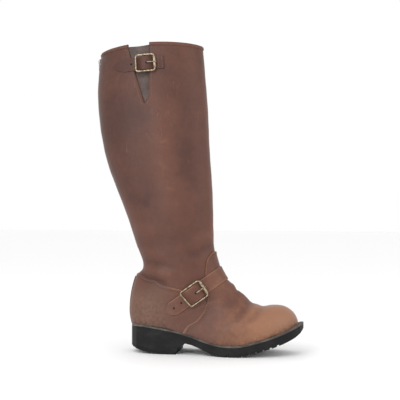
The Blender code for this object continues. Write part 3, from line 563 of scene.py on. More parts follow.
@dataclass
class Last:
    """The boot's form: sole plan and side view, and the sections of the upper."""

    sole_length: float = 0.270
    heel_width: float = 0.068
    ball_width: float = 0.097
    heel_seat: float = 0.044
    ball_thickness: float = 0.0168
    toe_spring: float = 0.040
    heel_centre: float = 0.063
    ledge: float = 0.004
    ankle_rise: float = 0.092
    shaft_rise: float = 0.332
    instep_rise: float = 0.083
    calf_width: float = 0.092
    rim_arch: float = 0.007
    tuck: float = 0.012
    wall: float = 0.0022
    overlay: float = 0.0018
    seat_gap: float = 0.0003
    wave: float = 0.0007
    ripple: float = 0.00018
    creases: list[Crease] = field(default_factory=list)

    PLAN = np.array([
        # station  heel   outer   inner
        (0.000, 0.045, 0.000, 0.000), (0.006, 0.150, 0.000, 0.000), (0.020, 0.262, 0.000, 0.000),
        (0.045, 0.370, 0.000, 0.000), (0.085, 0.445, 0.000, 0.000), (0.140, 0.485, 0.000, 0.000),
        (0.210, 0.500, 0.000, 0.000), (0.290, 0.460, 0.030, 0.020), (0.370, 0.300, 0.155, 0.115),
        (0.450, 0.130, 0.325, 0.260), (0.530, 0.000, 0.475, 0.400), (0.600, 0.000, 0.505, 0.450),
        (0.670, 0.000, 0.505, 0.480), (0.740, 0.000, 0.485, 0.485), (0.810, 0.000, 0.440, 0.460),
        (0.870, 0.000, 0.390, 0.425), (0.920, 0.000, 0.320, 0.372), (0.960, 0.000, 0.228, 0.292),
        (0.985, 0.000, 0.138, 0.212), (0.996, 0.000, 0.060, 0.135), (1.000, 0.000, 0.005, 0.070)])
    PROFILE_TOP = np.array([
        # station  seat   spring  thick
        (0.000, 0.985, 0.000, 1.00), (0.070, 1.000, 0.000, 1.00), (0.140, 0.930, 0.000, 1.00),
        (0.250, 0.755, 0.000, 1.00), (0.360, 0.485, 0.000, 1.00), (0.420, 0.300, 0.000, 1.00),
        (0.480, 0.130, 0.000, 1.00), (0.560, 0.010, 0.000, 1.00), (0.630, 0.000, 0.005, 1.00),
        (0.685, 0.000, 0.060, 1.00), (0.750, 0.000, 0.175, 1.00), (0.800, 0.000, 0.270, 1.00),
        (0.850, 0.000, 0.385, 1.00), (0.895, 0.000, 0.500, 1.00), (0.940, 0.000, 0.640, 0.98),
        (0.975, 0.000, 0.780, 0.93), (1.000, 0.000, 0.900, 0.78)])
    LEG = np.array([
        # front  level   back   level  widest calf  sole  n_front n_back arch
        (0.417, 2.026, -0.183, 2.000, 0.50, 0.90, 0.00, 2.00, 2.15, 1.0),
        (0.428, 1.950, -0.194, 1.930, 0.50, 0.94, 0.00, 2.00, 2.15, 0.6),
        (0.440, 1.810, -0.201, 1.800, 0.50, 1.00, 0.00, 2.00, 2.15, 0.0),
        (0.450, 1.670, -0.191, 1.670, 0.50, 1.00, 0.00, 2.00, 2.15, 0.0),
        (0.457, 1.570, -0.169, 1.570, 0.50, 0.98, 0.00, 2.00, 2.15, 0.0),
        (0.464, 1.475, -0.139, 1.475, 0.50, 0.95, 0.00, 2.00, 2.15, 0.0),
        (0.470, 1.390, -0.103, 1.390, 0.50, 0.92, 0.00, 2.00, 2.15, 0.0),
        (0.475, 1.310, -0.065, 1.310, 0.50, 0.88, 0.00, 2.00, 2.15, 0.0),
        (0.479, 1.235, -0.028, 1.235, 0.50, 0.84, 0.00, 2.00, 2.15, 0.0),
        (0.481, 1.170, 0.004, 1.160, 0.50, 0.80, 0.00, 2.00, 2.15, 0.0),
        (0.483, 1.115, 0.026, 1.100, 0.50, 0.76, 0.00, 2.00, 2.15, 0.0),
        (0.487, 1.075, 0.046, 1.055, 0.50, 0.73, 0.02, 2.00, 2.15, 0.0),
        (0.493, 1.044, 0.064, 1.012, 0.49, 0.55, 0.28, 2.00, 2.15, 0.0),
        (0.504, 1.012, 0.064, 0.946, 0.48, 0.35, 0.60, 2.00, 2.15, 0.0),
        (0.515, 0.946, 0.040, 0.853, 0.47, 0.15, 0.90, 2.00, 2.20, 0.0),
        (0.530, 0.859, 0.024, 0.740, 0.46, 0.00, 1.12, 2.00, 2.25, 0.0),
        (0.544, 0.788, 0.012, 0.587, 0.45, 0.00, 1.11, 2.00, 2.35, 0.0),
        (0.561, 0.728, 0.003, 0.391, 0.42, 0.00, 1.10, 2.00, 2.50, 0.0),
        (0.578, 0.685, 0.001, 0.207, 0.39, 0.00, 1.08, 2.05, 2.70, 0.0),
        (0.594, 0.652, 0.010, 0.033, 0.36, 0.00, 1.06, 2.10, 3.00, 0.0)])
    FOOT = np.array([
        # front  rise    back  widest  sole  n_front n_back drift
        (0.611, 0.960, 0.024, 0.34, 1.05, 2.10, 3.6, 0.000),
        (0.630, 0.930, 0.074, 0.33, 1.05, 2.10, 4.0, 0.000),
        (0.650, 0.875, 0.156, 0.33, 1.05, 2.10, 4.0, 0.000),
        (0.670, 0.800, 0.252, 0.33, 1.04, 2.10, 4.0, 0.000),
        (0.691, 0.725, 0.363, 0.33, 1.03, 2.10, 4.0, 0.001),
        (0.711, 0.660, 0.481, 0.33, 1.02, 2.15, 4.0, 0.002),
        (0.737, 0.600, 0.593, 0.33, 1.01, 2.20, 4.0, 0.003),
        (0.770, 0.555, 0.667, 0.32, 1.00, 2.25, 4.0, 0.004),
        (0.811, 0.525, 0.704, 0.30, 0.99, 2.30, 4.0, 0.005),
        (0.850, 0.480, 0.722, 0.26, 0.98, 2.35, 4.0, 0.006),
        (0.884, 0.420, 0.733, 0.22, 0.97, 2.35, 4.0, 0.006),
        (0.913, 0.330, 0.743, 0.18, 0.96, 2.30, 4.0, 0.007),
        (0.937, 0.225, 0.750, 0.15, 0.95, 2.25, 4.0, 0.008),
        (0.951, 0.120, 0.756, 0.12, 0.94, 2.20, 4.0, 0.009),
        (0.958, 0.030, 0.760, 0.10, 0.93, 2.15, 4.0, 0.009),
        (0.962, -0.080, 0.763, 0.10, 0.92, 2.10, 4.0, 0.009)])
    VAMP_SEAM = np.array([
        # level, station
        (-0.30, 0.300), (0.00, 0.350), (0.09, 0.400), (0.23, 0.438), (0.44, 0.462), (0.62, 0.466),
        (0.86, 0.447), (1.00, 0.449), (1.02, 0.452), (1.05, 0.470), (1.07, 0.500), (1.08, 0.560)])
    COUNTER_TOP = np.array([
        # station, level
        (-0.060, 0.870), (0.055, 0.840), (0.110, 0.770), (0.155, 0.750), (0.190, 0.690),
        (0.225, 0.660), (0.290, 0.620), (0.380, 0.560), (0.480, 0.520)])

    def __post_init__(self) -> None:
        """Work out the sections in metres."""
        self.sections = self._sections()
        self.last = len(self.sections) - 1

    def x_of(self, station: Array | float) -> Array | float:
        """World x of a station share."""
        return np.asarray(station) * self.sole_length - self.heel_centre

    def station(self, x: Array) -> Array:
        """Station share of a world x."""
        return (np.asarray(x) + self.heel_centre) / self.sole_length

    def height(self, level: Array | float) -> Array:
        """World z of a level."""
        level = np.asarray(level, float)
        return (self.heel_seat + np.minimum(level, 1) * self.ankle_rise
                + np.maximum(level - 1, 0) * self.shaft_rise)

    def level(self, z: Array) -> Array:
        """Level of a world z."""
        rise = np.asarray(z) - self.heel_seat
        return np.where(rise < self.ankle_rise, rise / self.ankle_rise,
                        1 + (rise - self.ankle_rise) / self.shaft_rise)

    def half(self, share: Array, side: int) -> Array:
        """Half width of the sole at a station; side is -1 outer, +1 inner."""
        heel = curve(share, self.PLAN[:, 0], self.PLAN[:, 1])
        ball = curve(share, self.PLAN[:, 0], self.PLAN[:, 2 if side < 0 else 3])
        return heel * self.heel_width + ball * self.ball_width

    def sole_top(self, share: Array) -> Array:
        """Height of the sole's top at a station."""
        seat, spring, thick = (curve(share, self.PROFILE_TOP[:, 0], self.PROFILE_TOP[:, k])
                               for k in (1, 2, 3))
        return (seat * (self.heel_seat - self.ball_thickness) + spring * self.toe_spring
                + thick * self.ball_thickness)

    def _sections(self) -> Array:
        """Sections in metres: front x z, back x z, widest, outer, inner, exponents, drift, arch."""
        front, level, back, back_level, widest, calf, inside, n_front, n_back, arch = self.LEG.T
        middle = back + widest * (front - back)
        width = [calf * self.calf_width / 2 + inside * (self.half(middle, side) - self.ledge)
                 for side in (-1, 1)]
        leg = np.stack([self.x_of(front), self.height(level), self.x_of(back),
                        self.height(back_level), widest, *width, n_front, n_back, 0 * front,
                        arch * self.rim_arch], axis=1)
        front, rise, back, widest, inside, n_front, n_back, drift = self.FOOT.T
        middle = back + widest * (front - back)
        width = [inside * (self.half(middle, side) - self.ledge) for side in (-1, 1)]
        foot = np.stack([self.x_of(front), self.sole_top(front) + rise * self.instep_rise,
                         self.x_of(back), self.sole_top(back) - self.tuck, widest, *width,
                         n_front, n_back, drift, 0 * front], axis=1)
        return np.concatenate([leg, foot])

    def point(self, u: Array, angle: Array) -> Array:
        """Smooth face: a superellipse in the plane through a section's ends and along Y.

        Args:
            u: Section numbers, read by a Catmull-Rom spline.
            angle: 0 at the front, turning over the inner side; one per u.

        Returns:
            Points, n by 3.
        """
        u = np.clip(u, 0, self.last)
        k = np.minimum(u.astype(int), self.last - 1)
        t = (u - k)[:, None]
        a, b, c, d = (self.sections[np.clip(k + j, 0, self.last)] for j in (-1, 0, 1, 2))
        row = 0.5 * (2 * b + (c - a) * t + (2 * a - 5 * b + 4 * c - d) * t ** 2
                     + (3 * b - a - 3 * c + d) * t ** 3)
        front, back = row[:, 0:2], row[:, 2:4]
        widest, outer, inner, n_front, n_back, drift, arch = row[:, 4:].T
        c, s = np.cos(angle), np.sin(angle)
        power = np.where(c > 0, n_front, n_back)
        radius = (np.abs(c) ** power + np.abs(s) ** power) ** (-1 / power)
        along = widest + np.where(c > 0, 1 - widest, widest) * c * radius
        place = back + along[:, None] * (front - back)
        across = s * radius * np.where(s < 0, outer, inner) + drift * along
        return np.stack([place[:, 0], across, place[:, 1] + arch * s * s], axis=1)

    def face(self, u: Array, angle: Array,
             lift: Array | float = 0.0) -> tuple[Array, Array]:
        """Points and normals of the leather, with its creases.

        Args:
            u: Section numbers, any shape.
            angle: Angles in the same shape.
            lift: Height over the face.

        Returns:
            Points and outward normals, each n by 3.
        """
        uu, aa = np.ravel(u), np.ravel(angle)
        point = self.point(uu, aa)
        normal = unit(np.cross(self.point(uu + 0.02, aa) - self.point(uu - 0.02, aa),
                               self.point(uu, aa + 0.01) - self.point(uu, aa - 0.01)))
        rise = np.ravel(np.broadcast_to(lift, np.shape(u))) + self.fold_lift(point)
        point = point + normal * rise[:, None]
        seat = self.sole_top(self.station(point[:, 0])) + self.seat_gap
        point[:, 2] = np.maximum(point[:, 2], seat)
        return point, normal

    def fold_lift(self, points: Array) -> Array:
        """All creases at once, with the soft waves of worn leather."""
        lift = np.zeros(len(points))
        for crease in self.creases:
            lift += crease.press(self, points)
        x, y, z = points.T
        broad = np.sin(31 * z + 23 * x + 1.3) * np.sin(47 * x - 19 * z + 9 * y)
        fine = np.sin(120 * z + 60 * x) * np.sin(95 * x - 70 * z + 40 * y + 0.7)
        return lift + self.wave * broad + self.ripple * fine

    def traits(self, points: Array) -> dict[str, Array]:
        """Where the leather is lighter or darker, with painted highlights and painted shade in the
        tone, and where it is rubbed.

        Args:
            points: Points, n by 3.

        Returns:
            The traits tone, rub and darkening.
        """
        x, _, z = points.T
        share, level = self.station(x), self.level(z)
        # Each share of tone belongs to one region and was chosen against the photograph.
        toe = smooth_step((share - 0.62) / 0.25)
        foot = smooth_step((1.12 - level) / 0.5)
        tone = 0.29 + 0.10 * smooth_step((1.75 - level) / 0.7) + 0.06 * foot + 0.42 * toe
        # Painted shade: the back of the shaft, above the ankle, is made darker.
        tone = tone - 0.12 * smooth_step((0.12 - share) / 0.2) * smooth_step((level - 0.9) / 0.3)
        tone = tone + 0.14 * smooth_step((share - 0.42) / 0.12) * foot
        sheen = np.exp(-((share - 0.23) / 0.09) ** 2) * smooth_step((level - 1.1) / 0.3)
        shin = smooth_step((share - 0.40) / 0.08) * smooth_step((level - 0.9) / 0.3)
        tone = tone + 0.04 * sheen + 0.10 * shin
        # Fold ridges lighter and troughs darker: painted shade in the troughs, and on the ridges
        # pull-up lightening together with a painted highlight.
        crest = np.clip(self.fold_lift(points) / 0.002, -1, 1)
        tone = tone + 0.22 * crest
        heel = smooth_step((0.33 - share) / 0.2) * smooth_step((0.75 - level) / 0.4)
        tip = smooth_step((share - 0.84) / 0.1) * smooth_step((0.30 - level) / 0.4)
        rub = 0.30 * heel + 0.35 * tip + 0.12 * toe
        over = z - self.sole_top(share)
        # Darker just above the sole, and in marks over the heel.
        darkening = np.exp(-np.clip(over, 0, None) / 0.006) * 0.8 + 0.35 * heel
        return {"tone": tone, "rub": rub, "darkening": darkening}

    def seam_rows(self, angle: Array, gap: Callable[[Array, Array], Array], start: float,
                  end: float) -> Array:
        """First row along each angle where gap(station, level) turns positive.

        Args:
            angle: Angles.
            gap: Signed distance to the seam in side view.
            start: First row searched.
            end: Last row searched.

        Returns:
            Row numbers, one per angle.
        """
        rows = np.linspace(start, end, SEAM_SAMPLES)
        uu, aa = np.meshgrid(rows, angle, indexing="ij")
        points = self.point(uu.ravel(), aa.ravel())
        value = gap(self.station(points[:, 0]), self.level(points[:, 2])).reshape(uu.shape)
        inside = value > 0
        first = inside.argmax(axis=0)
        index = np.arange(len(angle))
        before = np.maximum(first - 1, 0)
        low, high = value[before, index], value[first, index]
        share = np.where(high > low, np.clip(-low / np.where(high > low, high - low, 1), 0, 1), 1)
        row = rows[before] + share * (rows[first] - rows[before])
        return np.where(inside.any(axis=0), row, end)


def crease_set() -> list[Crease]:
    """The main folds of the worn leather, given one by one."""
    return [
        Crease(((0.040, 0.920), (0.110, 0.800), (0.155, 0.765), (0.205, 0.700), (0.260, 0.660)),
               -0.0024, 0.0050),
        Crease(((0.050, 1.000), (0.130, 0.930), (0.210, 0.890), (0.300, 0.860)), 0.0014, 0.0085),
        Crease(((0.060, 1.030), (0.140, 1.015), (0.240, 0.985), (0.330, 0.970)), -0.0012, 0.0050),
        Crease(((0.060, 1.070), (0.160, 1.050), (0.260, 1.035)), 0.0010, 0.0080),
        Crease(((0.495, 1.110), (0.440, 1.075), (0.380, 1.055), (0.320, 1.060)), -0.0013, 0.0060),
        Crease(((0.490, 1.150), (0.440, 1.130), (0.370, 1.120)), 0.0011, 0.0090),
        Crease(((0.800, 0.440), (0.765, 0.290), (0.725, 0.150), (0.690, 0.040)), -0.0011, 0.0060),
        Crease(((0.730, 0.500), (0.690, 0.330), (0.650, 0.180), (0.625, 0.060)), -0.0010, 0.0075),
        Crease(((0.765, 0.460), (0.725, 0.300), (0.685, 0.140)), 0.0008, 0.0070),
        Crease(((0.660, 0.620), (0.610, 0.450), (0.570, 0.280)), -0.0007, 0.0090),
        Crease(((0.190, 1.930), (0.210, 1.700), (0.235, 1.450), (0.275, 1.180)),
               0.0016, 0.0220, "outer"),
        Crease(((0.060, 1.850), (0.090, 1.600), (0.140, 1.350), (0.190, 1.150)),
               -0.0014, 0.0200, "outer"),
        Crease(((0.350, 1.850), (0.350, 1.600), (0.360, 1.300)), -0.0012, 0.0170, "outer"),
        Crease(((0.150, 1.850), (0.180, 1.500), (0.240, 1.150)), -0.0012, 0.0250, "inner"),
        Crease(((-0.020, 1.330), (0.060, 1.290), (0.140, 1.280)), -0.0010, 0.0080),
        Crease(((0.020, 1.190), (0.100, 1.170), (0.180, 1.150)), 0.0010, 0.0090),
    ]


@dataclass
class Upper:
    """The leather shaft with its V and zip opening, its lining, vamp, counter and stay.

    An overlay's rows start at its cut edge and ease into rows shared by all its columns.
    """

    shape: Last
    columns: int = 200
    rows: int = 250
    v_front: float = 0.134
    v_tip: float = 0.108
    v_back: float = 0.008
    v_tip_level: float = 1.755
    v_corner_level: float = 1.785
    zip_width: float = 0.007
    zip_end: float = 1.08
    v_top_level: float = 2.02
    v_rows: int = 44
    zip_rows: int = 104
    front_share: float = 0.80
    least_gap: float = 0.002
    lining_rows: int = 110
    lining_columns: int = 120
    lining_zip: float = 0.09
    vamp_span: tuple[float, float] = (-pi * 0.82, pi * 0.82)
    vamp_from: float = 8.0
    vamp_rows: int = 190
    vamp_stack: float = 1.25
    counter_span: tuple[float, float] = (pi * 0.30, pi * 1.70)
    counter_between: tuple[float, float] = (10.0, 27.0)
    counter_rows: int = 120
    counter_least: float = 26.0
    counter_below: float = 4.0
    stay_width: float = 0.014
    stay_level: float = 0.80
    stay_end: float = 19.3
    stay_tone: float = -0.12
    easing: float = 0.15
    edge_hold: int = 8
    edge_width: float = 0.14
    edge_highlight_tone: float = 0.38
    shadow_at: float = 0.30
    shadow_tone: float = 0.22
    tuck_thin: float = 0.85
    tuck_run: float = 0.012

    # The first rows of an overlay turn its cut edge over: shares of the way, and of the lift.
    EDGE_SHARE = np.array([0.0, 0.0, 0.0005, 0.0016])
    EDGE_LIFT = np.array([-0.2, 0.55, 0.9, 1.0])

    def v_angles(self, u: Array) -> tuple[Array, Array]:
        """Angles of the V's front and back edges on each row, meeting at its tip."""
        shape = self.shape
        angle = np.linspace(pi * 1.08, pi * 1.92, 120)
        uu, aa = np.meshgrid(u, angle, indexing="ij")
        x = shape.point(uu.ravel(), aa.ravel())[:, 0].reshape(uu.shape)
        level = shape.level(shape.point(u, np.full(len(u), pi * 1.5))[:, 2])
        front = shape.x_of(np.interp(level, [self.v_tip_level, self.v_corner_level],
                                     [self.v_tip, self.v_front]))
        back = shape.x_of(np.interp(level, [self.v_tip_level, self.v_top_level],
                                    [self.v_tip, self.v_back]))
        index = np.arange(len(u))
        a_front = np.array([np.interp(front[i], x[i], angle) for i in index])
        a_back = np.array([np.interp(back[i], x[i], angle) for i in index])
        return a_front, a_back

    def build_shaft(self) -> None:
        """Outer leather from collar to sole, with open strips for the V and the zip."""
        shape = self.shape
        tip_row = self.row_at(self.v_tip_level, pi * 1.5)
        zip_row = self.row_at(self.zip_end, pi)
        above = np.linspace(0, tip_row, self.v_rows)
        middle = np.linspace(tip_row, zip_row, self.zip_rows)[1:]
        below = np.linspace(zip_row, shape.last, self.rows - self.v_rows - self.zip_rows + 2)[1:]
        u = np.concatenate([above, middle, below])
        a_front, a_back = self.v_angles(u)
        middle_angle = (a_front + a_back) / 2
        gap = np.maximum(a_front - a_back, self.least_gap)
        spread = smooth_step((u - tip_row) / 0.8) * 2 * pi / self.columns
        gap = np.maximum(gap, spread)
        a_front, a_back = middle_angle + gap / 2, middle_angle - gap / 2
        row_width = np.array([self.width_at(row) for row in u])
        half_zip = self.zip_width / 2 / row_width
        first = int(self.columns * self.front_share)
        back = 3 * pi
        before = a_front[:, None] + ((back - half_zip - a_front)[:, None]
                                     * np.linspace(0, 1, first)[None])
        after = (back + half_zip)[:, None] + ((a_back + 2 * pi - back - half_zip)[:, None]
                                              * np.linspace(0, 1, self.columns - first)[None])
        angle = np.concatenate([before, after], axis=1)
        uu = np.repeat(u[:, None], angle.shape[1], axis=1)
        points, normal = shape.face(uu, angle)
        quads = grid_faces(len(u), angle.shape[1], closed=True)
        row, column = quads[:, 0] // self.columns, quads[:, 0] % self.columns
        in_v = (column == self.columns - 1) & (u[row] < tip_row - NEAR)
        in_zip = (column == first - 1) & (u[row] < zip_row - NEAR)
        skin = add_piece("shaft_leather", points, quads[~(in_v | in_zip)], Finish.LEATHER,
                         replaces=("upper",), traits=shape.traits(points), outward=normal)
        rim = skin.modifiers.new("cut_edge", "SOLIDIFY")
        rim.thickness, rim.offset, rim.use_rim_only = shape.wall, -1, True

    def row_at(self, level: float, angle: float) -> float:
        """Row whose point at an angle has the given level."""
        u = np.linspace(0, self.shape.last, ROW_SAMPLES)
        z = self.shape.level(self.shape.point(u, np.full(ROW_SAMPLES, angle))[:, 2])
        falling = ROW_SAMPLES // 2
        return float(np.interp(-level, -z[:falling], u[:falling]))

    def width_at(self, row: float) -> float:
        """Half width of the upper on a row, on the inner side."""
        return float(abs(self.shape.point(np.array([row]), np.array([pi / 2]))[0, 1]))

    def build_lining(self) -> None:
        """Inner face of the leather, down to the insole."""
        shape = self.shape
        u = np.linspace(0, shape.last, self.lining_rows)
        angle = np.linspace(0, 2 * pi, self.lining_columns, endpoint=False)
        uu, aa = np.meshgrid(u, angle, indexing="ij")
        points, normal = shape.face(uu, aa, -shape.wall)
        quads = grid_faces(len(u), len(angle), closed=True)
        v_front, v_back = self.v_angles(u)
        row, column = quads[:, 0] // len(angle), quads[:, 0] % len(angle)
        level = shape.level(points[quads[:, 0], 2])
        at = angle[column]
        step = angle[1]
        in_v = (at + step > v_back[row]) & (at < v_front[row]) & (level > self.v_tip_level)
        in_zip = (np.abs(at + step / 2 - pi) < self.lining_zip) & (level > self.zip_end)
        add_piece("shaft_lining", points, quads[~(in_v | in_zip)], Finish.LINING, outward=-normal)

    def patch(self, name: str, angle: Array, starts: Array, end: float, rows: int, lift: float,
              node: str, tucked: bool = False) -> None:
        """An overlay from a first row at each angle to a shared last one, its cut edge turned.

        Args:
            name: The piece's name.
            angle: Angles of its columns.
            starts: First row at each angle, the cut edge.
            end: Last row.
            rows: Number of rows.
            lift: Height over the leather beneath.
            node: The node that it replaces.
            tucked: Whether it thins out where it runs under the vamp.
        """
        shape = self.shape
        share = np.concatenate([self.EDGE_SHARE, np.linspace(0, 1, rows)[1:]])
        height = np.full(len(share), lift)
        height[:len(self.EDGE_LIFT)] = lift * self.EDGE_LIFT
        common = (starts.min() + share * (end - starts.min()))[:, None]
        excess = np.logaddexp(0, (common - starts) / self.easing)
        excess = excess - excess[:1] * ((1 - share) ** self.edge_hold)[:, None]
        away = self.easing * excess
        uu = starts[None] + away
        aa = np.repeat(angle[None], len(share), axis=0)
        height = height[:, None] * np.ones_like(uu)
        if tucked:
            ground = shape.point(uu.ravel(), aa.ravel())
            past = self.vamp_gap(shape.station(ground[:, 0]), shape.level(ground[:, 2]))
            thin = self.tuck_thin * smooth_step(past / self.tuck_run)
            height = height * (1 - thin).reshape(uu.shape)
        points, normal = shape.face(uu, aa, height)
        traits = shape.traits(points)
        # Painted highlight on the turned cut edge, and a painted shadow band just below it on the
        # overlay.
        near = np.exp(-away / self.edge_width).ravel()
        under = np.exp(-((away - self.shadow_at) / self.edge_width) ** 2).ravel()
        traits["tone"] = traits["tone"] + self.edge_highlight_tone * near - self.shadow_tone * under
        add_piece(name, points, grid_faces(len(share), len(angle)), Finish.LEATHER,
                  replaces=(node,), traits=traits, outward=normal)

    def vamp_gap(self, station: Array, level: Array) -> Array:
        """Positive in front of the vamp's rear edge and under its tab's top."""
        seam = self.shape.VAMP_SEAM
        edge = curve(level, seam[:, 0], seam[:, 1])
        return np.where(level > seam[-1, 0], seam[-1, 0] - level, station - edge)

    def counter_gap(self, station: Array, level: Array) -> Array:
        """Positive under the counter's top edge."""
        top = self.shape.COUNTER_TOP
        return curve(station, top[:, 0], top[:, 1]) - level

    def vamp_edge(self, count: int = 240) -> tuple[Array, Array]:
        """Angles and rows of the vamp's rear edge."""
        angle = np.linspace(*self.vamp_span, count)
        return angle, self.shape.seam_rows(angle, self.vamp_gap, self.vamp_from,
                                           float(self.shape.last))

    def counter_edge(self, count: int = 180) -> tuple[Array, Array]:
        """Angles and rows of the counter's top edge."""
        angle = np.linspace(*self.counter_span, count)
        return angle, self.shape.seam_rows(angle, self.counter_gap, *self.counter_between)

    def build_overlays(self) -> None:
        """Vamp over the foot, counter round the heel and stay up the heel's back."""
        angle, starts = self.vamp_edge()
        self.patch("vamp_leather", angle, starts, float(self.shape.last), self.vamp_rows,
                   self.shape.overlay * self.vamp_stack, "vamp")
        angle, starts = self.counter_edge()
        self.patch("counter_leather", angle, starts,
                   max(self.counter_least, starts.max() + self.counter_below),
                   self.counter_rows, self.shape.overlay, "heel_counter", tucked=True)
        self.build_stay()

    def build_stay(self) -> None:
        """Narrow strip down the middle of the heel's back."""
        shape = self.shape
        rows = np.linspace(self.row_at(self.stay_level, pi), self.stay_end, 60)
        width = np.array([self.width_at(row) for row in rows])
        t = np.linspace(-1, 1, 21)
        arch = np.sqrt(np.clip(1 - t ** 2, 0, 1))
        edge = np.clip(arch * 3, 0, 1)
        angle = pi + t[None] * (self.stay_width / 2 / width)[:, None]
        uu = np.repeat(rows[:, None], len(t), axis=1)
        lift = shape.overlay * (1 + edge[None] * 0.7) * np.ones_like(uu)
        lift[0] = lift[-1] = shape.overlay * 0.8
        points, normal = shape.face(uu, angle, lift)
        traits = shape.traits(points)
        traits["tone"] = traits["tone"] + self.stay_tone
        add_piece("stay_leather", points, grid_faces(len(rows), len(t)), Finish.LEATHER,
                  replaces=("back_stay",), traits=traits, outward=normal)


def sweep(centres: Array, sides: Array, ups: Array, profile: Array,
          closed: bool = False) -> tuple[Array, Array]:
    """Carry a closed profile along a path.

    Args:
        centres: Path points, n by 3.
        sides: Direction of the profile's first axis at each point.
        ups: Direction of its second axis.
        profile: Outline, m by 2, in metres, or n by m by 2.
        closed: Whether the path goes round.

    Returns:
        Points and quads.
    """
    outline = np.broadcast_to(profile, (len(centres), *np.shape(profile)[-2:]))
    points = centres[:, None] + outline[..., :1] * sides[:, None] + outline[..., 1:] * ups[:, None]
    rows, columns = points.shape[:2]
    quads = grid_faces(rows, columns, closed=True)
    if closed:
        j = np.arange(columns)
        after = (j + 1) % columns
        base = (rows - 1) * columns
        quads = np.concatenate([quads, np.stack([base + j, base + after, after, j], axis=1)])
    return points.reshape(-1, 3), quads


def capped(points: Array, quads: Array, columns: int) -> tuple[Array, Array]:
    """Close both ends of a swept tube with a point in the middle of each."""
    rows = len(points) // columns
    first, last = points[:columns].mean(axis=0), points[-columns:].mean(axis=0)
    j = np.arange(columns)
    after = (j + 1) % columns
    n = len(points)
    start = np.stack([np.full(columns, n), after, j, np.full(columns, n)], axis=1)
    base = (rows - 1) * columns
    end = np.stack([np.full(columns, n + 1), base + j, base + after,
                    np.full(columns, n + 1)], axis=1)
    extra = np.concatenate([start, end])
    return np.concatenate([points, first[None], last[None]]), np.concatenate([quads, extra])


@dataclass
class Stitching:
    """Rows of raised thread, each stitch a small rounded grain of thread."""

    pitch: float = 0.0026
    length: float = 0.0020
    thick: float = 0.00042
    look: float = 0.0004
    facets: int = 6

    def run(self, name: str, path: Array, normal: Array) -> None:
        """Lay stitches along a path.

        Args:
            name: The piece's name.
            path: Points, n by 3.
            normal: Outward normals at them.
        """
        step = np.linalg.norm(np.diff(path, axis=0), axis=1)
        length = np.concatenate([[0], np.cumsum(step)])
        count = max(2, int(length[-1] / self.pitch))
        at = (np.arange(count) + 0.5) * length[-1] / count
        centre = np.stack([np.interp(at, length, path[:, k]) for k in range(3)], axis=1)
        up = unit(np.stack([np.interp(at, length, normal[:, k]) for k in range(3)], axis=1))
        ahead = np.stack([np.interp(at + self.look, length, path[:, k]) for k in range(3)], axis=1)
        behind = np.stack([np.interp(at - self.look, length, path[:, k]) for k in range(3)], axis=1)
        run = unit(ahead - behind)
        side = np.cross(run, up)
        n = self.facets
        t = np.linspace(-1, 1, n)
        turn = np.linspace(0, 2 * pi, n, endpoint=False)
        swell = np.sqrt(np.clip(1 - t ** 4, 0.02, 1))
        local = np.stack([np.broadcast_to((t * self.length / 2)[:, None], (n, n)),
                          self.thick * swell[:, None] * np.cos(turn)[None],
                          self.thick * swell[:, None] * np.sin(turn)[None]], axis=-1).reshape(-1, 3)
        axes = np.stack([run, side, up], axis=1)
        points = centre[:, None] + np.einsum("pk,nkj->npj", local, axes)
        quads = grid_faces(n, n, closed=True)
        quads = (quads[None] + (np.arange(count) * n * n)[:, None, None]).reshape(-1, 4)
        out = np.einsum("pk,nkj->npj", local * (0, 1, 1), axes).reshape(-1, 3)
        add_piece(name, points.reshape(-1, 3), quads, Finish.THREAD, outward=out)


